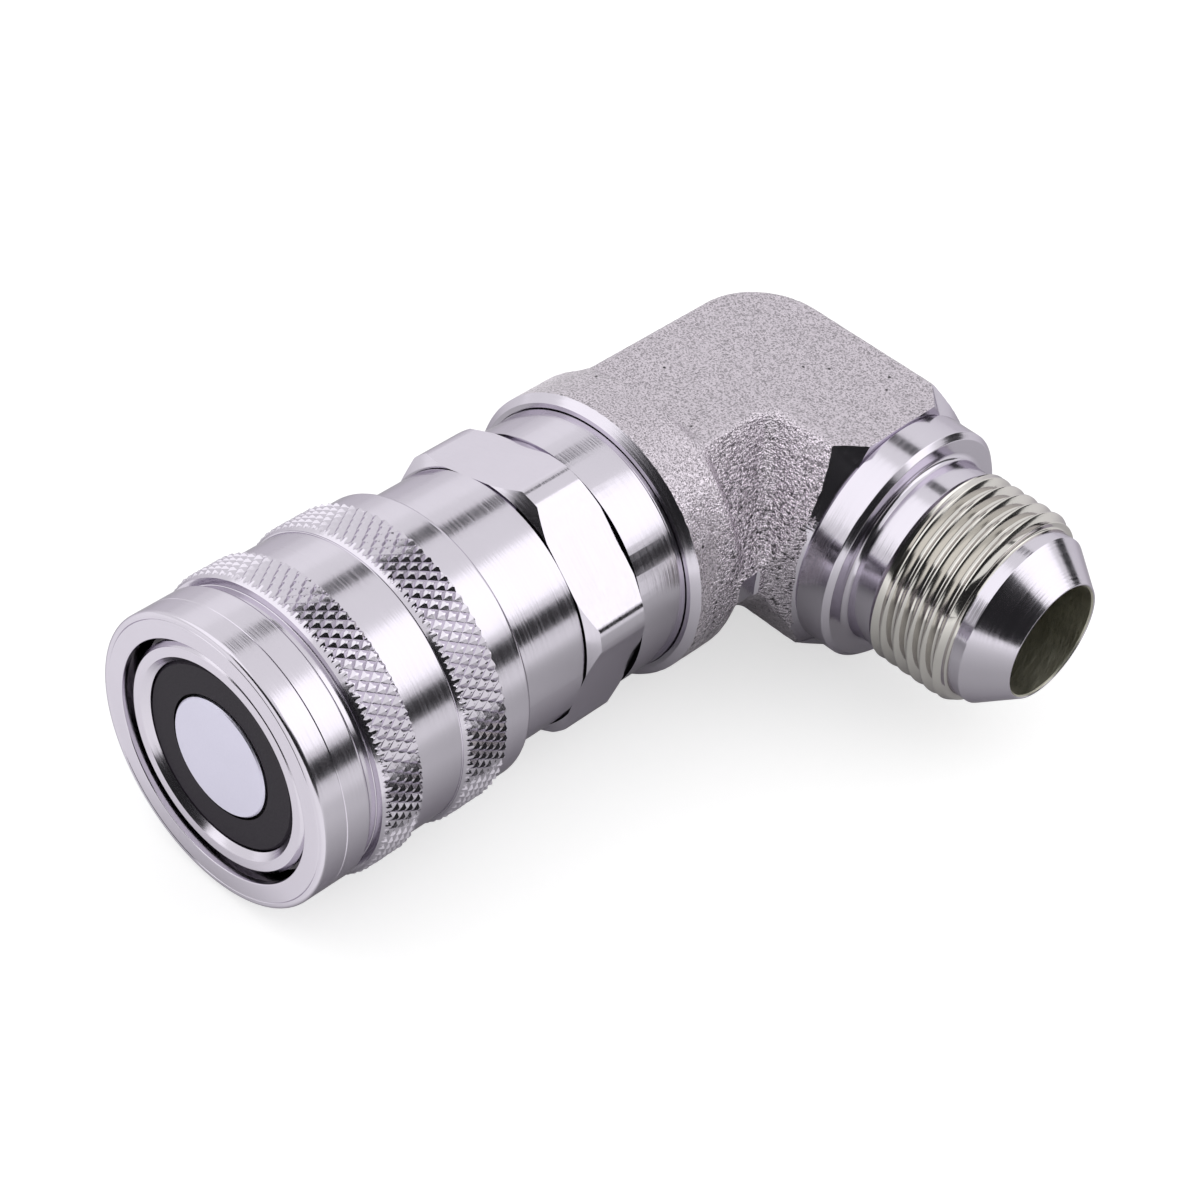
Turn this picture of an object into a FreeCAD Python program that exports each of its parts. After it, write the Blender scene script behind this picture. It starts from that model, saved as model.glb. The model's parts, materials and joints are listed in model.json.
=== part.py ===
"""Elbow quick coupling: the socket half of a flat-face quick coupling on a forged 90 degree elbow.

Frame: the origin is the centre of the flat mating face, -Y points out of the socket, the coupling's axis
runs back along +Y to the elbow, the elbow's flare end points along +X and +Z is up. Millimetres.
Stations along the coupling's axis are distances behind the mating face. Radii are from the piece's axis.
"""
import FreeCAD, Part
import Sketcher
import math
import os

doc = FreeCAD.newDocument("ElbowQuickCoupling")
sheet = doc.addObject("Spreadsheet::Sheet", "Sizes")

# Driving dimensions: alias, value, meaning
SIZES = [
    ("slide_gap", 0.1, "radial clearance between pieces that slide on each other"),
    ("fit_gap", 0.05, "clearance between pieces that are screwed or laid together"),
    ("cut_over", 1.0, "how far cutting tools run past a face"),
    ("turned_edge", 0.5, "broken edges of the turned pieces"),
    ("body_proud", 0.5, "front of the nose ahead of the mating face"),
    ("sleeve_proud", 1.15, "front of the outer sleeve ahead of the mating face"),
    ("valve_recess", 0.25, "front of the black valve sleeve behind the mating face"),
    # Socket body, from its nose to its rear end
    ("nose_bore", 12.3, "radius of the bore that takes the plug"),
    ("nose_wall", 2.55, "wall of the nose"),
    ("nose_bevel", 0.8, "bevel of the nose bore's mouth"),
    ("ring_station", 2.2, "groove of the stop ring behind the mating face"),
    ("ring_width", 1.3, "that groove along the axis"),
    ("ring_seat", 0.95, "depth of that groove"),
    ("ball_wall", 1.0, "wall between the stop ring's groove and the ball holes"),
    ("seal_wall", 2.5, "wall between the ball holes and the seal groove"),
    ("chamber_wall", 3.015, "wall between the seal groove and the valve chamber"),
    ("chamber_length", 14.0, "valve chamber along the axis"),
    ("valve_step", 1.1, "shoulder that stops the valve sleeve"),
    ("spider_seat", 2.0, "shoulder that seats the stem spider"),
    ("joint_length", 11.0, "screwed joint of body and adapter"),
    ("shoulder_height", 2.35, "shoulder that carries the sleeve spring"),
    ("spring_room", 11.68, "room of the sleeve spring along the axis"),
    # Outer sleeve, from its face to its tail
    ("skirt_wall", 1.7, "wall of the sleeve over the barrel"),
    ("knurl_height", 0.75, "crests of the knurled bands above the sleeve"),
    ("collar_length", 7.25, "plain collar at the front"),
    ("groove_width", 1.4, "turned groove behind that collar"),
    ("groove_depth", 0.8, "depth of that groove"),
    ("front_knurl", 5.9, "width of the front knurled band"),
    ("waist_length", 6.8, "plain waist between the bands"),
    ("rear_knurl", 6.5, "width of the rear knurled band"),
    ("tail_length", 4.65, "plain collar at the tail"),
    ("mouth_lip", 0.95, "length of the narrow bore at the face"),
    ("mouth_gap", 0.15, "that bore's clearance round the stop ring"),
    ("land_length", 3.5, "land inside the sleeve that presses the balls in"),
    # Locking balls and stop ring
    ("ball_radius", 2.0, "locking ball"),
    ("ball_count", 10, "balls around the nose"),
    ("ball_gap", 0.1, "play of a ball"),
    ("ball_lip", 0.45, "wall left at the foot of a ball's hole"),
    ("ring_height", 0.7, "stop ring above the nose"),
    ("ring_opening", 18.0, "open angle of the split stop ring, degrees"),
    # Seals
    ("seal_cord", 0.85, "section radius of the nose and adapter O-rings"),
    ("stem_cord", 0.85, "section radius of the stem's O-ring"),
    ("backup_width", 1.2, "back-up rings along the axis"),
    # Stem, valve sleeve, spider and nut
    ("stem_head", 7.72, "radius of the flat disc"),
    ("stem_land", 2.3, "stem's head in front of its seal groove"),
    ("stem_back", 1.4, "stem's head behind its seal groove"),
    ("stem_taper", 4.5, "length of the cone behind the head"),
    ("stem_radius", 3.2, "stem"),
    ("stud_step", 0.7, "step from the stem down to its threaded end"),
    ("stud_spare", 1.0, "stem's thread past its nut"),
    ("lip_past", 0.5, "valve sleeve's lip past the stem's head"),
    ("valve_wall", 1.6, "wall of the valve sleeve round its spring"),
    ("valve_flange", 2.6, "length of the valve sleeve's rear flange"),
    ("valve_edge", 0.35, "edge bevel of the black face"),
    ("guide_width", 1.4, "guide band's groove in the flange, along the axis"),
    ("guide_depth", 0.8, "depth of that groove"),
    ("spider_thick", 2.5, "rim and arms of the spider"),
    ("rim_width", 3.15, "rim of the spider"),
    ("hub_wall", 2.5, "wall of the spider's hub"),
    ("hub_length", 5.0, "length of the spider's hub"),
    ("window_angle", 60.0, "angle of one window, degrees"),
    ("window_count", 4, "windows around the hub"),
    ("stem_washer_thick", 0.8, "washer under the stem's nut"),
    ("nut_wall", 1.5, "wall of the stem's nut at its flats"),
    ("nut_height", 4.0, "height of the stem's nut"),
    # Springs
    ("sleeve_wire", 0.6, "wire radius of the sleeve spring"),
    ("sleeve_turns", 4, "turns of the sleeve spring"),
    ("valve_wire", 0.8, "wire radius of the valve spring"),
    ("valve_turns", 6, "turns of the valve spring"),
    ("spring_gap", 0.3, "valve spring's clearance in the valve sleeve"),
    ("seat_gap", 0.1, "play at the ends of a spring"),
    # Adapter and the bonded washer behind it
    ("hex_rise", 1.7, "round bar of the hexagon above the body's barrel"),
    ("hex_cut", 1.9, "depth of the flats milled on that bar"),
    ("hex_length", 9.6, "hexagon along the axis"),
    ("hex_front_bevel", 1.3, "bevel length at the hexagon's front"),
    ("hex_rear_bevel", 0.9, "bevel length at the hexagon's rear"),
    ("hex_turn", 14.5, "angle of a corner from +Z towards +X, degrees"),
    ("spigot_step", 1.4, "step from the bar down to the plain spigot"),
    ("spigot_length", 7.05, "length of the spigot"),
    ("adapter_land", 1.2, "adapter's front land before its seal groove"),
    ("adapter_wall", 3.05, "wall of the adapter under its seal groove"),
    ("adapter_bore_length", 16.0, "length of the adapter's wide bore"),
    ("tail_wall", 4.7, "wall of the adapter's tail"),
    ("port_radius", 13.2, "screwed joint of adapter and elbow"),
    ("port_stud", 13.5, "length of the adapter's rear thread"),
    ("stud_bevel", 1.0, "bevel at the end of that thread"),
    ("lip_width", 1.5, "rubber lip of the bonded washer"),
    ("washer_width", 2.9, "metal ring of the bonded washer"),
    ("washer_thick", 2.0, "thickness of the bonded washer"),
    ("washer_proud", 0.65, "how far the washer stands out of the boss"),
    # Elbow, measured from the crossing of its two axes
    ("recess_gap", 0.35, "gap round the washer in the boss"),
    ("boss_wall", 1.4, "wall of the boss round that recess"),
    ("boss_bevel", 1.3, "turned bevel of the boss"),
    ("boss_length", 7.8, "round part of the boss"),
    ("blend_length", 1.8, "blend from the arm to the boss"),
    ("arm_wall", 3.4, "wall of the arm over the port"),
    ("arm_bulge", 1.6, "trimmed half width of the arms over their height"),
    ("arm_flat", 9.7, "half width of the arms' flat top"),
    ("arm_slope", 0.67, "run of the arms' sides for each step down"),
    ("arm_edge", 1.2, "edge rounding of the forging"),
    ("arm_run", 1.5, "arm between the hollow and the boss's blend"),
    ("hollow_round", 1.8, "rounding of the hollow inside the bend"),
    ("corner_bevel", 3.0, "turned bevel of the arm's corners, and the facing over it, behind the flange"),
    ("flange_run", 3.0, "arm between the hollow and the flange"),
    ("flange_rise", 2.856, "turned flange above the thread"),
    ("flange_length", 5.0, "flange along the axis"),
    ("flange_bevel", 0.7, "bevel of the flange's front edge"),
    ("flange_back", 0.2, "bevel of the flange's rear edge"),
    ("neck_step", 0.594, "neck below the thread"),
    ("neck_length", 4.2, "length of the neck"),
    ("neck_round", 0.8, "rounding at the neck's foot"),
    ("thread_radius", 13.494, "major radius of the 1 1/16 inch thread"),
    ("thread_length", 11.4, "threaded length"),
    ("thread_bevel", 0.7, "bevels at the thread's ends"),
    ("relief_step", 1.544, "plain run-out below the thread"),
    ("relief_length", 2.1, "length of the run-out"),
    ("flare_angle", 37.0, "half angle of the flare cone, degrees"),
    ("flare_bore", 7.85, "radius of the flare end's bore"),
    ("flare_rim", 0.4, "width of the flare's nose rim"),
    ("flare_bevel", 0.25, "bevel of the bore's mouth"),
    ("port_spare", 2.65, "room behind the adapter's thread in the port"),
    ("passage_radius", 8.0, "passage from the port to the bend"),
    ("drill_past", 1.0, "drillings run past the crossing by this much"),
    ("drill_point", 59.0, "half angle of the drill's point, degrees"),
]
for row, (alias, value, meaning) in enumerate(SIZES, start=1):
    sheet.set("A%d" % row, alias)
    sheet.set("B%d" % row, str(value))
    sheet.set("C%d" % row, meaning)
    sheet.setAlias("B%d" % row, alias)
doc.recompute()

NAMES = {alias for alias, value, meaning in SIZES}


def bound(text):
    """Turns plain alias names in a formula into references to the sheet."""
    words = []
    word = ""
    for letter in text + " ":
        if letter.isalnum() or letter == "_":
            word += letter
            continue
        words.append("Sizes." + word if word in NAMES else word)
        words.append(letter)
        word = ""
    return "".join(words).strip()


def size(text):
    """The number that a formula over the sheet gives."""
    return float(sheet.evalExpression(bound(text)))


# Stations and radii that several pieces share, as formulas over the sheet.
# Socket body
NOSE_RADIUS = "(nose_bore + nose_wall)"
BALL_STATION = "(ring_station + ring_width + ball_wall + ball_radius)"
SEAL_STATION = "(%s + ball_radius + seal_wall)" % BALL_STATION
SEAL_LENGTH = "(2.1 * seal_cord + backup_width)"
SEAL_END = "(%s + %s)" % (SEAL_STATION, SEAL_LENGTH)
SEAL_GROOVE = "(nose_bore + 2 * seal_cord)"
CHAMBER_START = "(%s + chamber_wall)" % SEAL_END
CHAMBER_RADIUS = "(nose_bore + valve_step)"
SPIDER = "(%s + chamber_length)" % CHAMBER_START
BODY_END = "(%s + joint_length)" % SPIDER
JOINT_RADIUS = "(%s + spider_seat)" % CHAMBER_RADIUS
BARREL_RADIUS = "(%s + shoulder_height)" % NOSE_RADIUS
# Balls and the sleeve's inside: a ramp at 45 degrees bears on the balls
BALL_CIRCLE = "(nose_bore - slide_gap + ball_gap + ball_radius)"
BALL_ROOM = "(%s + ball_radius + 2 * ball_gap)" % BALL_CIRCLE
LAND_RADIUS = "(%s + slide_gap)" % NOSE_RADIUS
LAND_RAMP = "(%s + (ball_radius + ball_gap) * sqrt(2) - ball_radius - 2 * ball_gap)" % BALL_STATION
LAND_START = "(%s + %s - %s)" % (LAND_RAMP, BALL_ROOM, LAND_RADIUS)
LAND_END = "(%s + land_length)" % LAND_START
SHOULDER = "(%s + spring_room)" % LAND_END
SKIRT_RADIUS = "(%s + slide_gap)" % BARREL_RADIUS
SLEEVE_RADIUS = "(%s + skirt_wall)" % SKIRT_RADIUS
KNURL_RADIUS = "(%s + knurl_height)" % SLEEVE_RADIUS
MOUTH_RADIUS = "(%s + ring_height + mouth_gap)" % NOSE_RADIUS
# Valve sleeve and stem
VALVE_RADIUS = "(nose_bore - slide_gap)"
VALVE_BORE = "(%s - valve_wall)" % VALVE_RADIUS
FLANGE_RADIUS = "(%s - 3 * slide_gap)" % CHAMBER_RADIUS
GUIDE_FLOOR = "(%s - guide_depth)" % FLANGE_RADIUS
GUIDE_START = "(%s + valve_flange / 2 - guide_width / 2)" % CHAMBER_START
GUIDE_END = "(%s + guide_width)" % GUIDE_START
STEM_LIP = "(stem_head + slide_gap)"
STEM_GROOVE = "(stem_head + slide_gap / 2 - 2 * stem_cord)"
STEM_GROOVE_END = "(stem_land + 2.2 * stem_cord)"
HEAD_END = "(%s + stem_back)" % STEM_GROOVE_END
LIP_END = "(%s + lip_past)" % HEAD_END
STEM_STUD = "(stem_radius - stud_step)"
HUB_RADIUS = "(%s + hub_wall)" % STEM_STUD
HUB_END = "(%s + hub_length)" % SPIDER
NUT_FRONT = "(%s + stem_washer_thick)" % HUB_END
STEM_END = "(%s + nut_height + stud_spare)" % NUT_FRONT
# Adapter and washer
STUD_FRONT = "(%s + spider_thick)" % SPIDER
STUD_RADIUS = "(%s - fit_gap)" % JOINT_RADIUS
ADAPTER_GROOVE = "(%s - 2 * seal_cord)" % STUD_RADIUS
ADAPTER_SEAL = "(%s + adapter_land)" % STUD_FRONT
ADAPTER_SEAL_END = "(%s + %s)" % (ADAPTER_SEAL, SEAL_LENGTH)
ADAPTER_BORE = "(%s - adapter_wall)" % ADAPTER_GROOVE
HEX_ROUND = "(%s + hex_rise)" % BARREL_RADIUS
HEX_END = "(%s + hex_length)" % BODY_END
SPIGOT_RADIUS = "(%s - spigot_step)" % HEX_ROUND
SPIGOT_END = "(%s + spigot_length)" % HEX_END
TAIL_BORE = "(port_radius - tail_wall)"
WASHER_INNER = "(port_radius + lip_width)"
WASHER_RADIUS = "(%s + washer_width)" % WASHER_INNER
WASHER_END = "(%s + washer_thick)" % SPIGOT_END
# Elbow, from the crossing of its axes
RECESS_RADIUS = "(%s + recess_gap)" % WASHER_RADIUS
BOSS_RADIUS = "(%s + boss_wall)" % RECESS_RADIUS
ARM_HEIGHT = "(port_radius + arm_wall)"
ARM_SIDE = "(%s + arm_bulge)" % ARM_HEIGHT
ARM_POINT = "(arm_flat + arm_slope * %s)" % ARM_HEIGHT
ARM_TRIM = "((%s - %s) / arm_slope)" % (ARM_POINT, ARM_SIDE)
ARM_LENGTH = "(%s + hollow_round + arm_run)" % ARM_SIDE
BOSS_START = "(%s + blend_length)" % ARM_LENGTH
BOSS_REACH = "(%s + boss_length)" % BOSS_START
FLANGE_REACH = "(%s + hollow_round + flange_run)" % ARM_SIDE
FLANGE_OUT = "(thread_radius + flange_rise)"
FLANGE_FOOT = "(%s - flange_back)" % FLANGE_OUT
NECK_RADIUS = "(thread_radius - neck_step)"
NECK_START = "(%s + flange_length)" % FLANGE_REACH
THREAD_START = "(%s + neck_length)" % NECK_START
THREAD_END = "(%s + thread_length)" % THREAD_START
RELIEF_RADIUS = "(thread_radius - relief_step)"
CONE_START = "(%s + relief_length)" % THREAD_END
FLARE_NOSE = "(flare_bore + flare_rim)"
FLARE_END = "(%s + (%s - %s) / tan(flare_angle))" % (CONE_START, RELIEF_RADIUS, FLARE_NOSE)
ELBOW_STATION = "(%s + washer_proud + %s)" % (SPIGOT_END, BOSS_REACH)

SUB_PARTS = []


def new_body(name):
    """Starts a piece that is built up from sketches."""
    body = doc.addObject("PartDesign::Body", name)
    body.Label = name
    SUB_PARTS.append(body)
    return body


def origin_feature(body, role):
    """One of the body's own planes or axes."""
    return next(item for item in body.Origin.OriginFeatures if item.Role == role)


def new_sketch(body, name, plane, lift=None):
    """An empty sketch on one of the body's planes, or lifted off it along its normal."""
    sketch = body.newObject("Sketcher::SketchObject", name)
    sketch.AttachmentSupport = [(origin_feature(body, plane), "")]
    sketch.MapMode = "FlatFace"
    if lift:
        sketch.setExpression(".AttachmentOffset.Base.z", bound(lift))
    return sketch


def fix(sketch, formula, *constraint):
    """Adds a constraint whose value follows a formula."""
    number = sketch.addConstraint(Sketcher.Constraint(*constraint))
    sketch.setExpression("Constraints[%d]" % number, bound(formula))


def outline(body, name, plane, points, lift=None):
    """A closed sketch through points of two formulas each, all fixed to the sheet.

    A point may carry a third formula, the radius of an arc that leads to it from the point before, with a
    sign: positive bulges to the right of that step, negative to the left.
    """
    sketch = new_sketch(body, name, plane, lift)
    spots = [FreeCAD.Vector(size(point[0]), size(point[1]), 0) for point in points]
    count = len(points)
    arcs = []
    for index in range(count):
        start = spots[index]
        end = spots[(index + 1) % count]
        rounding = points[(index + 1) % count][2:]
        if rounding:
            radius = size(rounding[0])
            sketch.addGeometry(arc_between(start, end, radius), False)
            arcs.append((index, rounding[0], radius))
        else:
            sketch.addGeometry(Part.LineSegment(start, end), False)
    ends = [first_end(sketch.Geometry[index], spots[index]) for index in range(count)]
    for index in range(count):
        after = (index + 1) % count
        sketch.addConstraint(Sketcher.Constraint("Coincident", index, 3 - ends[index], after, ends[after]))
    for index in range(count):
        fix(sketch, points[index][0], "DistanceX", -1, 1, index, ends[index], spots[index].x)
        fix(sketch, points[index][1], "DistanceY", -1, 1, index, ends[index], spots[index].y)
    for index, formula, radius in arcs:
        fix(sketch, "abs(%s)" % formula, "Radius", index, abs(radius))
    return sketch


def arc_between(start, end, radius):
    """The shorter arc of a signed radius between two points, always running anticlockwise."""
    chord = end - start
    half = chord.Length / 2
    rise = abs(radius) - math.sqrt(max(radius * radius - half * half, 0))
    right = FreeCAD.Vector(chord.y, -chord.x, 0).normalize()
    middle = (start + end) * 0.5 + right * math.copysign(rise, radius)
    if radius < 0:
        start, end = end, start
    return Part.Arc(start, middle, end)


def first_end(curve, start):
    """1 where a sketch curve begins at the given point, 2 where it ends there."""
    return 1 if (curve.StartPoint - start).Length < (curve.EndPoint - start).Length else 2


def circle(sketch, radius, station=None):
    """A circle on the sketch's vertical axis, at a station along it or at the origin."""
    centre = FreeCAD.Vector(0, size(station) if station else 0, 0)
    number = sketch.addGeometry(Part.Circle(centre, FreeCAD.Vector(0, 0, 1), size(radius)), False)
    if station:
        sketch.addConstraint(Sketcher.Constraint("PointOnObject", number, 3, -2))
        fix(sketch, station, "DistanceY", -1, 1, number, 3, centre.y)
    else:
        sketch.addConstraint(Sketcher.Constraint("Coincident", number, 3, -1, 1))
    fix(sketch, radius, "Radius", number, size(radius))


def turn(body, name, sketch, axis="V_Axis", angle=None):
    """Adds the solid that a sketch sweeps about one of its axes."""
    feature = body.newObject("PartDesign::Revolution", name)
    feature.Profile = sketch
    feature.ReferenceAxis = (sketch, [axis])
    feature.Angle = 360
    if angle:
        feature.setExpression("Angle", bound(angle))
    return feature


def turn_away(body, name, sketch, axis="V_Axis"):
    """Cuts away what a sketch sweeps about one of its axes."""
    feature = body.newObject("PartDesign::Groove", name)
    feature.Profile = sketch
    feature.ReferenceAxis = (sketch, [axis])
    feature.Angle = 360
    return feature


def raised(body, kind, name, sketch, length, reverse=False):
    """A pad or a pocket of a sketch."""
    feature = body.newObject("PartDesign::" + kind, name)
    feature.Profile = sketch
    feature.Reversed = reverse
    feature.setExpression("Length", bound(length))
    return feature


def polar(body, name, originals, count):
    """Repeats features evenly about the coupling's axis."""
    pattern = body.newObject("PartDesign::PolarPattern", name)
    pattern.Originals = originals
    pattern.Axis = (origin_feature(body, "Y_Axis"), [""])
    pattern.Angle = 360
    pattern.setExpression("Occurrences", bound(count))
    body.Tip = pattern
    return pattern


def turned(name, points, angle=None):
    """A piece turned about the coupling's axis: points are radius and station."""
    body = new_body(name)
    turn(body, name + "_turned", outline(body, name + "_section", "XY_Plane", points), angle=angle)
    return body


def ring(name, inner, outer, front, rear, angle=None):
    """A square-section ring about the coupling's axis."""
    return turned(name, [(inner, front), (outer, front), (outer, rear), (inner, rear)], angle)


def o_ring(name, radius, cord, station):
    """A round-section seal about the coupling's axis."""
    torus = doc.addObject("Part::Torus", name)
    torus.Label = name
    torus.setExpression("Radius1", bound(radius))
    torus.setExpression("Radius2", bound(cord))
    torus.Placement.Rotation = FreeCAD.Rotation(FreeCAD.Vector(1, 0, 0), -90)
    torus.setExpression(".Placement.Base.y", bound(station))
    SUB_PARTS.append(torus)


def coil(name, radius, wire, turns, front, rear):
    """A helical spring between two seats on the coupling's axis."""
    height = "(%s - %s - 2 * %s)" % (rear, front, wire)
    helix = doc.addObject("Part::Helix", name + "_line")
    helix.setExpression("Radius", bound(radius))
    helix.setExpression("Height", bound(height))
    helix.setExpression("Pitch", bound("%s / %s" % (height, turns)))
    section = doc.addObject("Part::Circle", name + "_wire")
    section.setExpression("Radius", bound(wire))
    section.Placement.Rotation = FreeCAD.Rotation(FreeCAD.Vector(1, 0, 0), 90)
    section.setExpression(".Placement.Base.x", bound(radius))
    doc.recompute()
    spring = doc.addObject("Part::Sweep", name)
    spring.Label = name
    spring.Sections = [section]
    spring.Spine = (helix, ["Edge%d" % (index + 1) for index in range(len(helix.Shape.Edges))])
    spring.Solid = True
    spring.Frenet = True
    spring.Placement.Rotation = FreeCAD.Rotation(FreeCAD.Vector(1, 0, 0), -90)
    spring.setExpression(".Placement.Base.y", bound("%s + %s" % (front, wire)))
    SUB_PARTS.append(spring)


def hexagon(across, first):
    """Corners of a hexagon across the coupling's axis, the first at an angle from +Z towards +X."""
    corners = []
    for index in range(6):
        angle = "(%s + %d)" % (first, 60 * index)
        corner = "%s / cos(30)" % across
        corners.append(("%s * sin(%s)" % (corner, angle), "%s * cos(%s)" % (corner, angle)))
    return corners


def outer_sleeve():
    """Release sleeve: collar, groove, two raised bands with a waist between, and the ball ramp inside."""
    front = "(-sleeve_proud)"
    collar = "(%s + collar_length)" % front
    band_one = "(%s + groove_width)" % collar
    band_one_end = "(%s + front_knurl)" % band_one
    band_two = "(%s + waist_length)" % band_one_end
    band_two_end = "(%s + rear_knurl)" % band_two
    tail = "(%s + tail_length)" % band_two_end
    groove = "%s - groove_depth" % SLEEVE_RADIUS
    edge = "%s - turned_edge" % SLEEVE_RADIUS
    turned("outer_sleeve", [
        (MOUTH_RADIUS, front),
        (edge, front),
        (SLEEVE_RADIUS, "%s + turned_edge" % front, "turned_edge"),
        (SLEEVE_RADIUS, "%s - turned_edge" % collar),
        (edge, collar, "turned_edge"),
        (groove, collar),
        (groove, band_one),
        (SLEEVE_RADIUS, band_one),
        (KNURL_RADIUS, "%s + knurl_height" % band_one),
        (KNURL_RADIUS, band_one_end),
        (SLEEVE_RADIUS, band_one_end),
        (SLEEVE_RADIUS, band_two),
        (KNURL_RADIUS, "%s + knurl_height" % band_two),
        (KNURL_RADIUS, band_two_end),
        (SLEEVE_RADIUS, band_two_end),
        (SLEEVE_RADIUS, "%s - turned_edge" % tail),
        (edge, tail, "turned_edge"),
        (SKIRT_RADIUS, tail),
        (SKIRT_RADIUS, LAND_END),
        (LAND_RADIUS, LAND_END),
        (LAND_RADIUS, LAND_START),
        (BALL_ROOM, LAND_RAMP),
        (BALL_ROOM, "%s + mouth_lip" % front),
        (MOUTH_RADIUS, "%s + mouth_lip" % front),
    ])


def socket_body():
    """Body: nose with ball holes, seal groove, valve chamber and the barrel that takes the adapter."""
    front = "(-body_proud)"
    ring_floor = "%s - ring_seat" % NOSE_RADIUS
    body = turned("socket_body", [
        ("nose_bore + nose_bevel", front),
        ("%s - turned_edge" % NOSE_RADIUS, front),
        (NOSE_RADIUS, "%s + turned_edge" % front),
        (NOSE_RADIUS, "ring_station"),
        (ring_floor, "ring_station"),
        (ring_floor, "ring_station + ring_width"),
        (NOSE_RADIUS, "ring_station + ring_width"),
        (NOSE_RADIUS, SHOULDER),
        ("%s - turned_edge" % BARREL_RADIUS, SHOULDER),
        (BARREL_RADIUS, "%s + turned_edge" % SHOULDER),
        (BARREL_RADIUS, BODY_END),
        (JOINT_RADIUS, BODY_END),
        (JOINT_RADIUS, SPIDER),
        (CHAMBER_RADIUS, SPIDER),
        (CHAMBER_RADIUS, CHAMBER_START),
        ("nose_bore", CHAMBER_START),
        ("nose_bore", SEAL_END),
        (SEAL_GROOVE, SEAL_END),
        (SEAL_GROOVE, SEAL_STATION),
        ("nose_bore", SEAL_STATION),
        ("nose_bore", "%s + nose_bevel" % front),
    ])
    seat = new_sketch(body, "ball_seat_circle", "XY_Plane", "nose_bore + ball_lip")
    circle(seat, "ball_radius + ball_gap / 2", BALL_STATION)
    foot = new_sketch(body, "ball_foot_circle", "XY_Plane", "nose_bore - cut_over")
    circle(foot, "ball_radius * 0.9", BALL_STATION)
    cuts = [
        raised(body, "Pocket", "ball_seat", seat, "nose_wall", reverse=True),
        raised(body, "Pocket", "ball_foot", foot, "cut_over + ball_lip + ball_radius / 2", reverse=True),
    ]
    polar(body, "ball_holes", cuts, "ball_count")


def lock_balls():
    """One ball in each hole of the nose."""
    balls = []
    for index in range(int(round(size("ball_count")))):
        ball = doc.addObject("Part::Sphere", "ball_%d" % (index + 1))
        ball.setExpression("Radius", bound("ball_radius"))
        angle = "(360 * %d / ball_count)" % index
        ball.setExpression(".Placement.Base.x", bound("%s * sin(%s)" % (BALL_CIRCLE, angle)))
        ball.setExpression(".Placement.Base.y", bound(BALL_STATION))
        ball.setExpression(".Placement.Base.z", bound("%s * cos(%s)" % (BALL_CIRCLE, angle)))
        balls.append(ball)
    group = doc.addObject("Part::Compound", "lock_balls")
    group.Label = "lock_balls"
    group.Links = balls
    SUB_PARTS.append(group)


def valve_sleeve():
    """Black sliding valve: sealing lip round the stem's head, spring room behind it and a stop flange."""
    flange_end = "(%s + valve_flange)" % CHAMBER_START
    turned("valve_sleeve", [
        (STEM_LIP, "valve_recess"),
        ("%s - valve_edge" % VALVE_RADIUS, "valve_recess"),
        (VALVE_RADIUS, "valve_recess + valve_edge"),
        (VALVE_RADIUS, CHAMBER_START),
        (FLANGE_RADIUS, CHAMBER_START),
        (FLANGE_RADIUS, GUIDE_START),
        (GUIDE_FLOOR, GUIDE_START),
        (GUIDE_FLOOR, GUIDE_END),
        (FLANGE_RADIUS, GUIDE_END),
        (FLANGE_RADIUS, flange_end),
        (VALVE_BORE, flange_end),
        (VALVE_BORE, LIP_END),
        (STEM_LIP, LIP_END),
    ])


def valve_stem():
    """Fixed stem: the flat disc of the face, its seal groove, a cone down to the stem and a threaded end."""
    turned("valve_stem", [
        ("0", "0"),
        ("stem_head - valve_edge / 2", "0"),
        ("stem_head", "valve_edge / 2"),
        ("stem_head", "stem_land"),
        (STEM_GROOVE, "stem_land"),
        (STEM_GROOVE, STEM_GROOVE_END),
        ("stem_head", STEM_GROOVE_END),
        ("stem_head", HEAD_END),
        ("stem_radius", "%s + stem_taper" % HEAD_END),
        ("stem_radius", SPIDER),
        (STEM_STUD, SPIDER),
        (STEM_STUD, "%s - stud_spare / 2" % STEM_END),
        ("%s - stud_spare / 2" % STEM_STUD, STEM_END),
        ("0", STEM_END),
    ])


def stem_spider():
    """Rim clamped between body and adapter, arms and hub, with windows for the fluid."""
    bore = "%s + fit_gap" % STEM_STUD
    body = turned("stem_spider", [
        (bore, SPIDER),
        (STUD_RADIUS, SPIDER),
        (STUD_RADIUS, STUD_FRONT),
        (HUB_RADIUS, STUD_FRONT),
        (HUB_RADIUS, HUB_END),
        (bore, HUB_END),
    ])
    across = "sin(window_angle / 2)"
    along = "cos(window_angle / 2)"
    outer = "(%s - rim_width)" % STUD_RADIUS
    window = outline(body, "window_outline", "XZ_Plane", [
        ("-%s * %s" % (HUB_RADIUS, across), "%s * %s" % (HUB_RADIUS, along)),
        ("%s * %s" % (HUB_RADIUS, across), "%s * %s" % (HUB_RADIUS, along), "-%s" % HUB_RADIUS),
        ("%s * %s" % (outer, across), "%s * %s" % (outer, along)),
        ("-%s * %s" % (outer, across), "%s * %s" % (outer, along), outer),
    ], lift="-%s" % SPIDER)
    polar(body, "windows", [raised(body, "Pocket", "window", window, "spider_thick")], "window_count")


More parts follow.
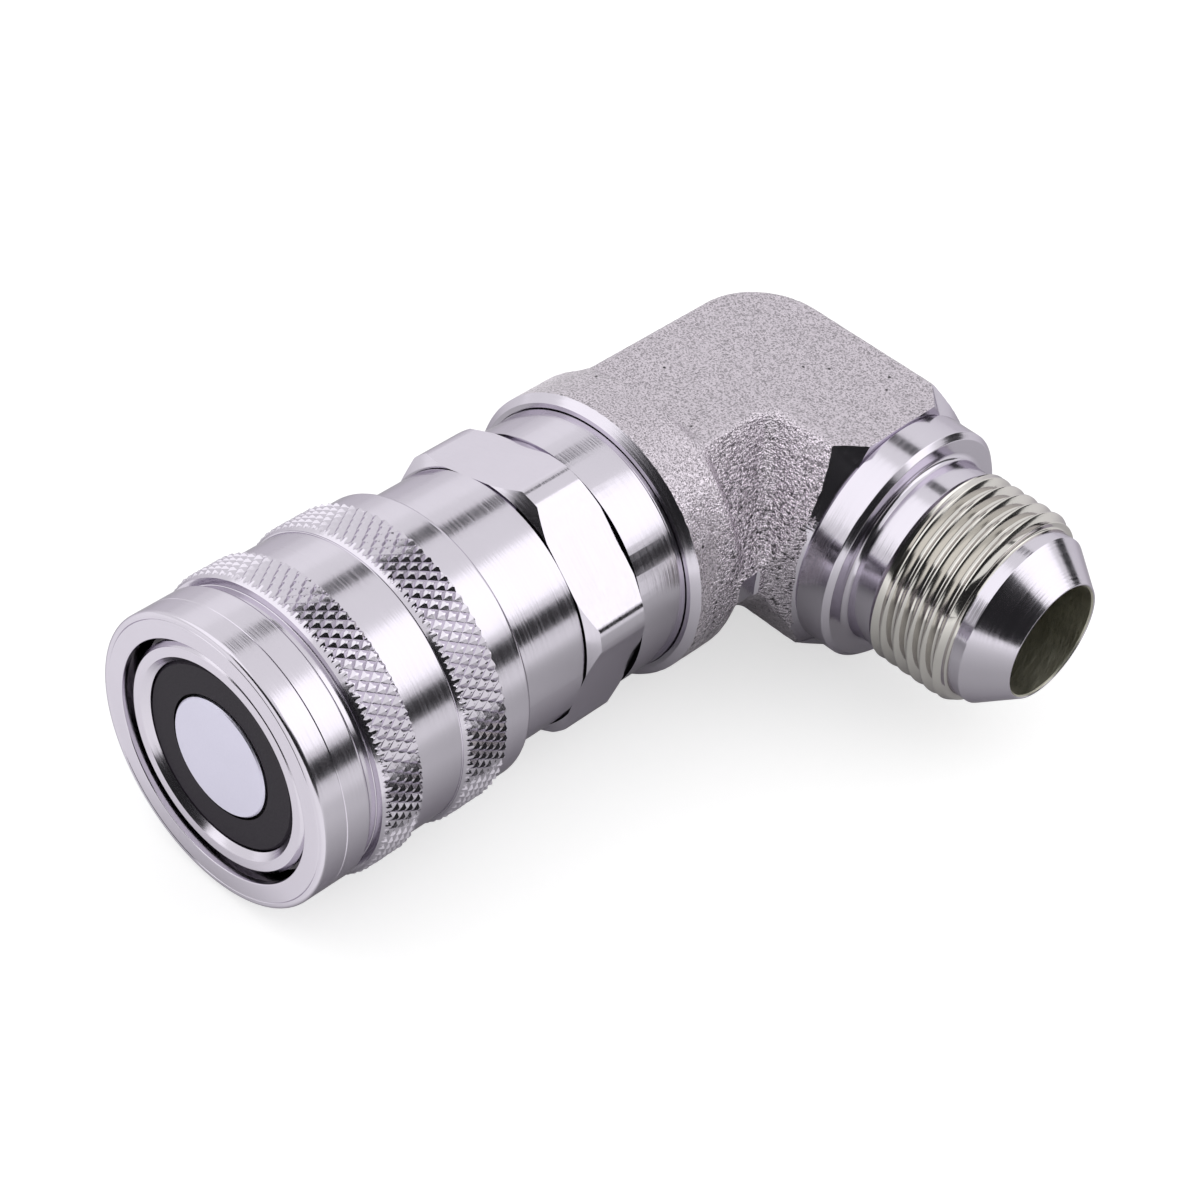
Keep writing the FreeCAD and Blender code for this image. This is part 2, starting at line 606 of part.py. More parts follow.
def stem_nut():
    """Hexagon nut on the stem's thread."""
    body = new_body("stem_nut")
    across = "(%s + nut_wall)" % STEM_STUD
    block = outline(body, "nut_outline", "XZ_Plane", hexagon(across, "0"), lift="-%s" % NUT_FRONT)
    raised(body, "Pad", "nut_block", block, "nut_height", reverse=True)
    bore = "%s + fit_gap" % STEM_STUD
    before = "%s - cut_over" % NUT_FRONT
    behind = "%s + nut_height + cut_over" % NUT_FRONT
    turn_away(body, "nut_hole", outline(body, "nut_bore", "XY_Plane", [
        ("0", before), (bore, before), (bore, behind), ("0", behind),
    ]))


def hex_adapter():
    """Adapter screwed into body and elbow: hexagon on round bar, plain spigot and two threaded studs."""
    bore_end = "(%s + adapter_bore_length)" % STUD_FRONT
    stud_end = "(%s + port_stud)" % SPIGOT_END
    body = turned("hex_adapter", [
        (ADAPTER_BORE, STUD_FRONT),
        (STUD_RADIUS, STUD_FRONT),
        (STUD_RADIUS, ADAPTER_SEAL),
        (ADAPTER_GROOVE, ADAPTER_SEAL),
        (ADAPTER_GROOVE, ADAPTER_SEAL_END),
        (STUD_RADIUS, ADAPTER_SEAL_END),
        (STUD_RADIUS, BODY_END),
        (BARREL_RADIUS, BODY_END),
        (HEX_ROUND, "%s + hex_front_bevel" % BODY_END),
        (HEX_ROUND, "%s - hex_rear_bevel" % HEX_END),
        (SPIGOT_RADIUS, HEX_END),
        (SPIGOT_RADIUS, SPIGOT_END),
        ("port_radius", SPIGOT_END),
        ("port_radius", "%s - stud_bevel" % stud_end),
        ("port_radius - stud_bevel", stud_end),
        (TAIL_BORE, stud_end),
        (TAIL_BORE, "%s + %s - %s" % (bore_end, ADAPTER_BORE, TAIL_BORE)),
        (ADAPTER_BORE, bore_end),
    ])
    flats = hexagon("(%s - hex_cut)" % HEX_ROUND, "hex_turn")
    around = outline(body, "hex_outline", "XZ_Plane", flats, lift="-%s" % BODY_END)
    circle(around, "%s + hex_cut" % HEX_ROUND)
    raised(body, "Pocket", "hex_flats", around, "hex_length")


def arm_corner():
    """Ends of the rounding between the arms' flat top and their sloping side."""
    length = "sqrt(1 + arm_slope ^ 2)"
    cut = "(arm_edge * (%s - arm_slope))" % length
    top = ("(arm_flat - %s)" % cut, ARM_HEIGHT)
    side = ("(arm_flat + %s * arm_slope / %s)" % (cut, length), "(%s - %s / %s)" % (ARM_HEIGHT, cut, length))
    return top, side


def arm_side(trimmed):
    """An arm's right side from top to bottom, with its point at the parting plane whole or trimmed."""
    top, side = arm_corner()
    point = [(ARM_SIDE, ARM_TRIM), (ARM_SIDE, "-" + ARM_TRIM)] if trimmed else [(ARM_POINT, "0")]
    return [
        (top[0], top[1]),
        (side[0], side[1], "-arm_edge"),
        *point,
        (side[0], "-" + side[1]),
        (top[0], "-" + top[1], "-arm_edge"),
    ]


def arm_outline(trimmed):
    """All round an arm, clockwise from the right end of its flat top."""
    right = arm_side(trimmed)
    left = []
    for across, height, *rounding in arm_side(trimmed):
        turned = height[1:] if height.startswith("-") else "0" if height == "0" else "-" + height
        left.append(("-" + across, turned, *rounding))
    return right + left


def boss_outline():
    """The round boss, cut into arcs that answer the sides of the arm's outline."""
    points = []
    for across, height, *rounding in arm_outline(True):
        scale = "%s / sqrt((%s) ^ 2 + (%s) ^ 2)" % (BOSS_RADIUS, across, height)
        points.append(("%s * (%s)" % (scale, across), "%s * (%s)" % (scale, height), "-" + BOSS_RADIUS))
    return points


def elbow():
    """One forging: two hexagonal arms round the bend, a round boss with its port, and a turned flare end."""
    body = new_body("elbow")
    body.setExpression(".Placement.Base.y", bound(ELBOW_STATION))
    coupling_arm = outline(body, "coupling_arm_section", "XZ_Plane", arm_outline(False))
    raised(body, "Pad", "coupling_arm", coupling_arm, BOSS_START)
    flare_arm = outline(body, "flare_arm_section", "YZ_Plane", arm_outline(False))
    raised(body, "Pad", "flare_arm", flare_arm, FLANGE_REACH)
    middle = [("0", "-" + ARM_HEIGHT), ("0", ARM_HEIGHT)]
    turn(body, "bend", outline(body, "bend_section", "XZ_Plane", arm_side(False) + middle))

    far = "(max(%s; %s) + cut_over)" % (BOSS_START, FLANGE_REACH)
    above = "(%s + cut_over)" % ARM_HEIGHT
    outer_trim = outline(body, "outer_trim_outline", "XY_Plane", [
        ("-" + ARM_SIDE, "-" + far),
        ("-" + ARM_SIDE, "0"),
        ("0", ARM_SIDE, "-" + ARM_SIDE),
        (far, ARM_SIDE),
        (far, far),
        ("-" + far, far),
        ("-" + far, "-" + far),
    ], lift=above)
    trimmed = raised(body, "Pocket", "outer_trim", outer_trim, "2 * " + above)
    doc.recompute()
    hollow = body.newObject("PartDesign::Fillet", "hollow")
    hollow.Base = (trimmed, valley_edges(trimmed.Shape))
    hollow.setExpression("Radius", bound("hollow_round"))

    turn_away(body, "corner_facing", outline(body, "corner_facing_section", "XY_Plane", [
        (FLANGE_REACH, FLANGE_FOOT),
        (FLANGE_REACH, far),
        ("%s - corner_bevel" % FLANGE_REACH, far),
        ("%s - corner_bevel" % FLANGE_REACH, "%s + corner_bevel" % FLANGE_FOOT),
    ]), axis="H_Axis")

    blend = body.newObject("PartDesign::AdditiveLoft", "boss_blend")
    blend.Profile = outline(body, "blend_foot", "XZ_Plane", arm_outline(True), lift=ARM_LENGTH)
    blend.Sections = [outline(body, "blend_head", "XZ_Plane", boss_outline(), lift=BOSS_START)]
    blend.Ruled = True
    turn(body, "boss", outline(body, "boss_section", "XY_Plane", [
        ("0", "-" + BOSS_START),
        (BOSS_RADIUS, "-" + BOSS_START),
        (BOSS_RADIUS, "boss_bevel - %s" % BOSS_REACH),
        ("%s - boss_bevel" % BOSS_RADIUS, "-" + BOSS_REACH),
        ("0", "-" + BOSS_REACH),
    ]))

    turn(body, "flare_end", outline(body, "flare_end_section", "XY_Plane", [
        (FLANGE_REACH, "0"),
        (FLANGE_REACH, FLANGE_FOOT),
        ("%s + flange_back" % FLANGE_REACH, FLANGE_OUT),
        ("%s - flange_bevel" % NECK_START, FLANGE_OUT),
        (NECK_START, "%s - flange_bevel" % FLANGE_OUT),
        (NECK_START, "%s + neck_round" % NECK_RADIUS),
        ("%s + neck_round" % NECK_START, NECK_RADIUS, "neck_round"),
        (THREAD_START, NECK_RADIUS),
        ("%s + thread_bevel" % THREAD_START, "thread_radius"),
        ("%s - thread_bevel" % THREAD_END, "thread_radius"),
        (THREAD_END, "thread_radius - thread_bevel"),
        (THREAD_END, RELIEF_RADIUS),
        (CONE_START, RELIEF_RADIUS),
        (FLARE_END, FLARE_NOSE),
        (FLARE_END, "0"),
    ]), axis="H_Axis")

    mouth = "-%s - cut_over" % BOSS_REACH
    recess_end = "washer_thick - washer_proud - %s" % BOSS_REACH
    port_end = "port_stud + port_spare - washer_proud - %s" % BOSS_REACH
    turn_away(body, "port", outline(body, "port_section", "XY_Plane", [
        ("0", mouth),
        (RECESS_RADIUS, mouth),
        (RECESS_RADIUS, recess_end),
        ("port_radius + fit_gap", recess_end),
        ("port_radius + fit_gap", port_end),
        ("passage_radius", port_end),
        ("passage_radius", "drill_past"),
        ("0", "drill_past + passage_radius / tan(drill_point)"),
    ]))
    turn_away(body, "flare_drilling", outline(body, "flare_drilling_section", "XY_Plane", [
        ("%s + cut_over" % FLARE_END, "0"),
        ("%s + cut_over" % FLARE_END, "flare_bore + flare_bevel"),
        (FLARE_END, "flare_bore + flare_bevel"),
        ("%s - flare_bevel" % FLARE_END, "flare_bore"),
        ("-drill_past", "flare_bore"),
        ("-drill_past - flare_bore / tan(drill_point)", "0"),
    ]), axis="H_Axis")


def valley_edges(shape):
    """Names of the edges where the two arms meet inside the bend."""
    names = []
    for number, edge in enumerate(shape.Edges, start=1):
        spots = [vertex.Point for vertex in edge.Vertexes]
        if all(abs(spot.x + spot.y) < 1e-4 and spot.x > 1 for spot in spots):
            names.append("Edge%d" % number)
    return names


def seals_and_rings():
    """Stop ring, O-rings, back-up rings, guide band and washers."""
    ring("sleeve_stop_ring", "%s - ring_seat + fit_gap" % NOSE_RADIUS, "%s + ring_height" % NOSE_RADIUS,
         "ring_station + fit_gap", "ring_station + ring_width - fit_gap", angle="360 - ring_opening")
    cord = "seal_cord - fit_gap / 2"
    o_ring("nose_seal", "nose_bore + seal_cord", cord, "%s + 1.05 * seal_cord" % SEAL_STATION)
    ring("nose_backup_ring", "nose_bore + fit_gap", "%s - fit_gap" % SEAL_GROOVE,
         "%s - backup_width" % SEAL_END, "%s - fit_gap" % SEAL_END)
    o_ring("stem_seal", "%s + stem_cord" % STEM_GROOVE, "stem_cord - fit_gap / 2",
           "stem_land + 1.1 * stem_cord")
    o_ring("adapter_seal", "%s + seal_cord" % ADAPTER_GROOVE, cord, "%s + 1.05 * seal_cord" % ADAPTER_SEAL)
    ring("adapter_backup_ring", "%s + fit_gap" % ADAPTER_GROOVE, STUD_RADIUS,
         "%s - backup_width" % ADAPTER_SEAL_END, "%s - fit_gap" % ADAPTER_SEAL_END)
    ring("valve_guide_ring", "%s + fit_gap" % GUIDE_FLOOR, "%s - slide_gap" % CHAMBER_RADIUS,
         "%s + fit_gap" % GUIDE_START, "%s - fit_gap" % GUIDE_END)
    ring("stem_washer", "%s + 2 * fit_gap" % STEM_STUD, HUB_RADIUS, HUB_END, NUT_FRONT)
    ring("bonded_washer", WASHER_INNER, WASHER_RADIUS, SPIGOT_END, WASHER_END)
    ring("bonded_washer_lip", "port_radius + 2 * fit_gap", WASHER_INNER, SPIGOT_END, WASHER_END)


def springs():
    """The two springs, each between its seats."""
    coil("sleeve_spring", "((%s + %s) / 2)" % (NOSE_RADIUS, BARREL_RADIUS), "sleeve_wire", "sleeve_turns",
         "(%s + seat_gap)" % LAND_END, "(%s - seat_gap)" % SHOULDER)
    coil("valve_spring", "(%s - spring_gap - valve_wire)" % VALVE_BORE, "valve_wire", "valve_turns",
         "(%s + seat_gap)" % LIP_END, "(%s - seat_gap)" % SPIDER)


outer_sleeve()
socket_body()
lock_balls()
valve_sleeve()
valve_stem()
stem_spider()
stem_nut()
hex_adapter()
elbow()
seals_and_rings()
springs()
doc.recompute()

faults = [item.Name for item in doc.Objects if "Invalid" in item.State or "Error" in item.State]
faults += [item.Label for item in SUB_PARTS if item.Shape.isNull() or not item.Shape.isValid()]
if faults:
    raise RuntimeError("these objects failed: " + ", ".join(faults))

os.makedirs("parts", exist_ok=True)
for item in SUB_PARTS:
    item.Shape.exportStep(os.path.join("parts", item.Label + ".step"))
    print("%-20s solids %d  volume %.1f" % (item.Label, len(item.Shape.Solids), item.Shape.Volume))
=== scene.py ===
"""Dresses the elbow quick coupling: knurled sleeve, forged elbow, thread, springs, finishes and studio."""

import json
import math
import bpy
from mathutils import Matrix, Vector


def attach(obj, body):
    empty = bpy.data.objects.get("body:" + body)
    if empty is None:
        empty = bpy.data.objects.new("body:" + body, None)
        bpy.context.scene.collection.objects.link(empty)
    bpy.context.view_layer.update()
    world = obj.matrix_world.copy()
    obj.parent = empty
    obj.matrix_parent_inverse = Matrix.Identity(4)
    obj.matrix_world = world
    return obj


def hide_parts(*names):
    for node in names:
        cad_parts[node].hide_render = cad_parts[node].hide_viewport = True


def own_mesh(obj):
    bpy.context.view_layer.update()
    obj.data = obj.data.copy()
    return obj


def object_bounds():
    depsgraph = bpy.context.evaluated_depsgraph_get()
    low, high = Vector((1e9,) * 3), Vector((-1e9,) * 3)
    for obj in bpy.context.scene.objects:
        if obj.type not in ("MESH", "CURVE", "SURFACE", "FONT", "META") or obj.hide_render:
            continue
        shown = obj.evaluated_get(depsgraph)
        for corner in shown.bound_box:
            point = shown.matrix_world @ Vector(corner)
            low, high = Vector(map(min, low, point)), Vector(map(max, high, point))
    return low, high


bl_info = {
    "name": "Elbow quick coupling",
    "version": (1, 0, 0),
    "blender": (4, 5, 0),
    "location": "View3D > Sidebar > Coupling",
    "description": "Builds the visible pieces of a flat-face quick coupling on a forged elbow",
    "category": "Object",
}

import bpy
import numpy as np
from mathutils import Matrix, Vector, noise

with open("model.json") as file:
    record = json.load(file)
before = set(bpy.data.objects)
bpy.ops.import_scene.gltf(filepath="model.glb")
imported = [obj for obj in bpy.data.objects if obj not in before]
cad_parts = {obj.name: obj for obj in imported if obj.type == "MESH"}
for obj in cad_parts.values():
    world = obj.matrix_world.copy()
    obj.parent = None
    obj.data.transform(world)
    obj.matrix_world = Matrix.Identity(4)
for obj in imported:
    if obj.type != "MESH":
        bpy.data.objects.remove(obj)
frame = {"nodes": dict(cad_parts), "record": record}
CAD_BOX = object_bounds()

MM = 0.001
# Where the flare end's axis crosses the coupling's axis, in millimetres
ELBOW_Y = 90.4
SHARP_ANGLE = math.radians(32)
# Points are the same when they agree to one part in this many of a millimetre
WELD_GRID = 1e5
# Allowance for rounding, in millimetres
EPS = 1e-6


def linear(code):
    """Turns an sRGB hex colour into linear red, green, blue and alpha."""
    parts = [int(code[i:i + 2], 16) / 255 for i in (1, 3, 5)]
    return [p / 12.92 if p <= 0.04045 else ((p + 0.055) / 1.055) ** 2.4 for p in parts] + [1.0]


# Sizes and colours


class SleeveSettings(bpy.types.PropertyGroup):
    """Sizes of the knurled release sleeve."""

    knurl_count: bpy.props.IntProperty(
        name="Knurl count", description="Diamonds in one row round the sleeve", default=84, min=24
    )
    knurl_length: bpy.props.FloatProperty(
        name="Knurl length", description="Length of a diamond along the axis", default=0.0022, unit="LENGTH"
    )
    knurl_depth: bpy.props.FloatProperty(
        name="Knurl depth", description="Height of a diamond", default=0.00042, unit="LENGTH"
    )
    scribe_depth: bpy.props.FloatProperty(
        name="Scribe depth", description="Depth of the fine turned lines", default=0.00007, unit="LENGTH"
    )


class ThreadSettings(bpy.types.PropertyGroup):
    """Sizes of the flare end's thread."""

    pitch: bpy.props.FloatProperty(
        name="Pitch", description="Advance of one turn, 12 turns per inch", default=0.0254 / 12,
        unit="LENGTH",
    )
    depth: bpy.props.FloatProperty(
        name="Depth", description="From crest to root", default=0.00125, unit="LENGTH"
    )


class ForgingSettings(bpy.types.PropertyGroup):
    """Surface of the forged elbow."""

    cell: bpy.props.FloatProperty(
        name="Cell", description="Edge of the remeshed faces", default=0.00034, unit="LENGTH"
    )
    grain_height: bpy.props.FloatProperty(
        name="Grain height", description="Height of the scale marks", default=0.00003, unit="LENGTH"
    )


class FinishSettings(bpy.types.PropertyGroup):
    """Colours of the finishes."""

    plated: bpy.props.FloatVectorProperty(
        name="Plated steel", description="Bright plated turned steel", subtype="COLOR", size=4,
        min=0, max=1, default=linear("#D4CFD9"),
    )
    forged: bpy.props.FloatVectorProperty(
        name="Forged steel", description="Plated forging", subtype="COLOR", size=4,
        min=0, max=1, default=linear("#F2E9F3"),
    )
    thread: bpy.props.FloatVectorProperty(
        name="Thread steel", description="Thread", subtype="COLOR", size=4,
        min=0, max=1, default=linear("#D8D5D0"),
    )
    bore: bpy.props.FloatVectorProperty(
        name="Bore steel", description="Drilled bore", subtype="COLOR", size=4,
        min=0, max=1, default=linear("#CCCABB"),
    )
    black: bpy.props.FloatVectorProperty(
        name="Black coat", description="Valve ring", subtype="COLOR", size=4,
        min=0, max=1, default=linear("#1F1724"),
    )
    satin: bpy.props.FloatVectorProperty(
        name="Satin steel", description="Stem disc", subtype="COLOR", size=4,
        min=0, max=1, default=linear("#D7D4E5"),
    )


class StageSettings(bpy.types.PropertyGroup):
    """Studio round the part."""

    floor_colour: bpy.props.FloatVectorProperty(
        name="Floor", description="White paper", subtype="COLOR", size=4,
        min=0, max=1, default=linear("#CBCBCB"),
    )
    lamp_level: bpy.props.FloatProperty(
        name="Lamp level", description="Scales the brightness of the soft boxes", default=1.0,
        subtype="FACTOR",
    )
    fill: bpy.props.FloatProperty(
        name="Fill", description="Strength of the room's soft light", default=0.80, subtype="FACTOR"
    )
    floor_lift: bpy.props.FloatProperty(
        name="Floor lift", description="White added to the paper where it is seen", default=0.60,
        subtype="FACTOR",
    )


# Meshes, in millimetres until they become an object


def rounded(corners, steps=5, hold=0.06):
    """Turns corners (station, radius, rounding) into profile points, with an arc at each rounded corner.

    hold is how far beside an arc a further point keeps the shading of the straight side.
    """
    flat = np.array([c[:2] for c in corners], float)
    points = []
    for i, (station, radius, size) in enumerate(corners):
        here = np.array((station, radius))
        to_last = flat[i - 1] - here
        to_next = flat[(i + 1) % len(flat)] - here
        if size == 0:
            points.append(here)
            continue
        last_length = np.linalg.norm(to_last)
        next_length = np.linalg.norm(to_next)
        to_last /= last_length
        to_next /= next_length
        half = math.acos(np.clip(to_last @ to_next, -1, 1)) / 2
        reach = size / math.tan(half)
        middle = here + (to_last + to_next) / np.linalg.norm(to_last + to_next) * size / math.sin(half)
        start = here + to_last * reach - middle
        end = here + to_next * reach - middle
        if last_length > reach + 4 * hold:
            points.append(here + to_last * (reach + hold))
        turn = math.atan2(start[0] * end[1] - start[1] * end[0], start @ end)
        for k in range(steps + 1):
            c, s = math.cos(turn * k / steps), math.sin(turn * k / steps)
            points.append(middle + (c * start[0] - s * start[1], s * start[0] + c * start[1]))
        if next_length > reach + 4 * hold:
            points.append(here + to_next * (reach + hold))
    return np.array(points)


def lathe(points, segments, axis="Y", relief=None, winding=None):
    """Turns a closed profile round one of the two port axes.

    relief(station, radius, angle) sinks the radius. winding names rows that climb as a screw does: the
    first and last of them, how many make one turn, the turn's pitch, and the stations that they stop at.
    """
    stations, radii = np.array(points, float).T
    angles = np.arange(segments) * 2 * math.pi / segments
    along = np.repeat(stations[:, None], segments, axis=1)
    rows, cols = np.meshgrid(np.arange(len(stations)), np.arange(segments), indexing="ij")
    next_row, next_col = (rows + 1) % len(stations), (cols + 1) % segments
    beside, beside_next = rows, next_row
    if winding:
        first, last, turn, pitch, start, end = winding
        climb = along[first:last + 1] + pitch * angles / (2 * math.pi)
        along[first:last + 1] = np.clip(climb, start, end)
        joined = np.arange(len(stations))
        joined[first:last + 1] = np.minimum(joined[first:last + 1] + turn, last)
        beside = np.where(next_col == 0, joined[rows], rows)
        beside_next = np.where(next_col == 0, joined[next_row], next_row)
    sink = np.zeros(along.shape)
    if relief:
        sink = relief(along, radii[:, None], angles[None, :])
    radius = np.maximum(radii[:, None] - sink, 0)
    side, up = radius * np.sin(angles), radius * np.cos(angles)
    if axis == "Y":
        verts = np.stack([side, along, up], -1)
    else:
        verts = np.stack([along, ELBOW_Y - side, up], -1)
    corners = [(rows, cols), (next_row, cols), (beside_next, next_col), (beside, next_col)]
    index = np.stack([r * segments + c for r, c in corners], -1).reshape(-1, 4)
    depth = np.stack([sink[r, c] for r, c in corners], -1).reshape(-1, 4)
    # A face that the relief bends is split along the diagonal that bends less.
    bent = np.ptp(depth, axis=1) > EPS
    cross = bent & (abs(depth[:, 0] - depth[:, 2]) <= abs(depth[:, 1] - depth[:, 3]))
    other = bent & ~cross
    faces = index[~bent].tolist()
    faces += index[cross][:, [0, 1, 2]].tolist() + index[cross][:, [0, 2, 3]].tolist()
    faces += index[other][:, [0, 1, 3]].tolist() + index[other][:, [1, 2, 3]].tolist()
    return verts.reshape(-1, 3), faces


def coil(radius, wire, start, end, turns, steps=36, ring=12):
    """A round wire wound about the coupling's axis, with closed ends."""
    count = int(turns * steps) + 1
    angle = np.linspace(0, 2 * math.pi * turns, count)
    run = np.linspace(start + wire, end - wire, count)
    out = np.stack([np.sin(angle), np.zeros(count), np.cos(angle)], -1)
    around = np.arange(ring) * 2 * math.pi / ring
    lift = np.array([0, 1, 0]) * np.sin(around)[None, :, None]
    middle = out * radius + np.stack([np.zeros(count), run, np.zeros(count)], -1)
    verts = middle[:, None, :] + wire * (out[:, None, :] * np.cos(around)[None, :, None] + lift)
    faces = []
    for i in range(count - 1):
        for j in range(ring):
            k = (j + 1) % ring
            faces.append([i * ring + j, (i + 1) * ring + j, (i + 1) * ring + k, i * ring + k])
    faces.append(list(range(ring)))
    faces.append(list(range((count - 1) * ring, count * ring))[::-1])
    return verts.reshape(-1, 3), faces


def weld(verts, faces):
    """Joins points at the same place, drops faces that lose their area and turns all faces outwards."""
    keys = np.round(np.asarray(verts) * WELD_GRID).astype(np.int64)
    _, first, place = np.unique(keys, axis=0, return_index=True, return_inverse=True)
    verts = np.asarray(verts)[first]
    place = place.reshape(-1)
    kept = []
    for face in faces:
        ring = [int(place[i]) for i in face]
        ring = [v for k, v in enumerate(ring) if v != ring[k - 1]]
        if len(set(ring)) >= 3:
            kept.append(ring)
    triangles = np.array([(r[0], r[k], r[k + 1]) for r in kept for k in range(1, len(r) - 1)])
    a, b, c = verts[triangles[:, 0]], verts[triangles[:, 1]], verts[triangles[:, 2]]
    volume = np.einsum("ij,ij->i", a, np.cross(b, c)).sum()
    if volume < 0:
        kept = [r[::-1] for r in kept]
    return verts, kept


def mesh_of(name, shell):
    """Makes a mesh in metres from points and faces in millimetres."""
    verts, faces = weld(*shell)
    mesh = bpy.data.meshes.new(name)
    mesh.from_pydata((verts * MM).tolist(), [], faces, shade_flat=False)
    mesh.validate()
    mesh.set_sharp_from_angle(angle=SHARP_ANGLE)
    return mesh


def shell_of(node):
    """Points and faces of a solid, in millimetres."""
    mesh = frame["nodes"][node].data
    co = np.zeros(len(mesh.vertices) * 3)
    mesh.vertices.foreach_get("co", co)
    return co.reshape(-1, 3) / MM, [list(p.vertices) for p in mesh.polygons]


def loose_object(name, data):
    """Links a mesh, lamp or camera as an object."""
    made = bpy.data.objects.new(name, data)
    bpy.context.scene.collection.objects.link(made)
    return made


def baked(made):
    """Applies an object's modifiers to its mesh."""
    bpy.context.view_layer.update()
    graph = bpy.context.evaluated_depsgraph_get()
    mesh = bpy.data.meshes.new_from_object(made.evaluated_get(graph))
    made.modifiers.clear()
    made.data = mesh
    return mesh


def part_finishes(mesh):
    """Makes the edges between two finishes sharp, so that the grain of one does not shade the other."""
    edges = np.zeros(len(mesh.loops), np.int32)
    mesh.loops.foreach_get("edge_index", edges)
    kinds, counts = np.zeros((2, len(mesh.polygons)), np.int32)
    mesh.polygons.foreach_get("material_index", kinds)
    mesh.polygons.foreach_get("loop_total", counts)
    kinds = np.repeat(kinds, counts)
    low, high = np.full(len(mesh.edges), kinds.max()), np.zeros(len(mesh.edges), np.int32)
    np.minimum.at(low, edges, kinds)
    np.maximum.at(high, edges, kinds)
    sharp = np.zeros(len(mesh.edges), bool)
    mesh.edges.foreach_get("use_edge_sharp", sharp)
    mesh.edges.foreach_set("use_edge_sharp", sharp | (low < high))


def cut(made, cutter_mesh):
    """Takes the cutter's solid off an object, which keeps the cutter's material on the cut faces."""
    cutter = loose_object("cutter", cutter_mesh)
    step = made.modifiers.new("cut", "BOOLEAN")
    step.operation = "DIFFERENCE"
    step.object = cutter
    step.solver = "MANIFOLD"
    step.material_mode = "TRANSFER"
    mesh = baked(made)
    bpy.data.objects.remove(cutter)
    if len(mesh.polygons) == 0:
        raise RuntimeError(f"cutting {made.name} left nothing")
    mesh.set_sharp_from_angle(angle=SHARP_ANGLE)
    part_finishes(mesh)


def piece(name, mesh, material, body, node):
    """Makes a mesh a piece that rides on a body and stands for a node."""
    made = loose_object(name, mesh)
    mesh.materials.clear()
    mesh.materials.append(material)
    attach(made, body)
    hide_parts(node)
    return made


# Materials, with places in metres and scales in patches per metre

WHITE = (1, 1, 1, 1)
# Plated steel reflects a little less along its rim than bare metal does.
EDGE_TINT = linear("#D3CFD6")


def add(tree, kind, links=None, **settings):
    """Adds a node with its settings, and links sockets or sets values by input name or number."""
    made = tree.nodes.new(kind)
    for key, value in settings.items():
        setattr(made, key, value)
    for key, value in (links or {}).items():
        socket = made.inputs[key]
        if isinstance(value, bpy.types.NodeSocket):
            tree.links.new(value, socket)
        else:
            socket.default_value = value
    return made


def ramp(tree, value, low, high, start=0.0, end=1.0):
    """Socket that goes from start to end while a value goes from low to high."""
    return add(tree, "ShaderNodeMapRange", {0: value, 1: low, 2: high, 3: start, 4: end}).outputs[0]


def calc(tree, operation, *values, clamp=False):
    """Socket of a calculation with numbers."""
    links = dict(enumerate(values))
    return add(tree, "ShaderNodeMath", links, operation=operation, use_clamp=clamp).outputs[0]


def vector(tree, operation, *values):
    """Socket of a calculation with vectors, which is a number for lengths, distances and dot products."""
    made = add(tree, "ShaderNodeVectorMath", dict(enumerate(values)), operation=operation)
    return made.outputs["Value" if operation in ("LENGTH", "DISTANCE", "DOT_PRODUCT") else "Vector"]


def speckle(tree, place, scale, detail, roughness=0.5):
    """Socket of a noise pattern."""
    links = {"Vector": place, "Scale": scale, "Detail": detail, "Roughness": roughness}
    return add(tree, "ShaderNodeTexNoise", links).outputs[0]


def clouded(tree, place, colour, scale, detail, shade):
    """Socket of a colour with faint darker clouds."""
    cloud = speckle(tree, place, scale, detail)
    darker = [c * shade for c in colour[:3]] + [1]
    return add(tree, "ShaderNodeMixRGB", {0: cloud, 1: darker, 2: list(colour)}).outputs[0]


def bumped(tree, strength, distance, height):
    """Socket of a normal that follows a height."""
    links = {"Strength": strength, "Distance": distance, "Height": height}
    return add(tree, "ShaderNodeBump", links).outputs[0]


def new_material(name):
    """An empty node material with its output, as material, tree and output node."""
    made = bpy.data.materials.new(name)
    made.use_nodes = True
    made.node_tree.nodes.clear()
    out = add(made.node_tree, "ShaderNodeOutputMaterial")
    return made, made.node_tree, out


def surface(tree, out, links):
    """Ends a material in a shader with these inputs."""
    shader = add(tree, "ShaderNodeBsdfPrincipled", links)
    tree.links.new(shader.outputs[0], out.inputs[0])


def round_place(tree, axis):
    """Sockets for the distance from the axis, the station along it, and the point."""
    place = add(tree, "ShaderNodeTexCoord").outputs["Object"]
    point = place if axis == "Y" else vector(tree, "SUBTRACT", place, (0, ELBOW_Y * MM, 0))
    parts = add(tree, "ShaderNodeSeparateXYZ", {0: point})
    mask = (1, 0, 1) if axis == "Y" else (0, 1, 1)
    radius = vector(tree, "LENGTH", vector(tree, "MULTIPLY", point, mask))
    return radius, parts.outputs[axis], point


# Rings of 0.12 mm feed are too fine to show, so they are drawn 0.3 mm apart.
RING_SCALE = 3300
RING_HEIGHT = 0.00003
# Noise values that the roughness spans, and its least and greatest share
RING_RANGE = (0.25, 0.75)
RING_ROUGHNESS = (0.75, 1.3)
# Handling marks and plating clouds, about 6 mm across: scale, detail and shade
PLATING_CLOUDS = (160.0, 3.0, 0.94)


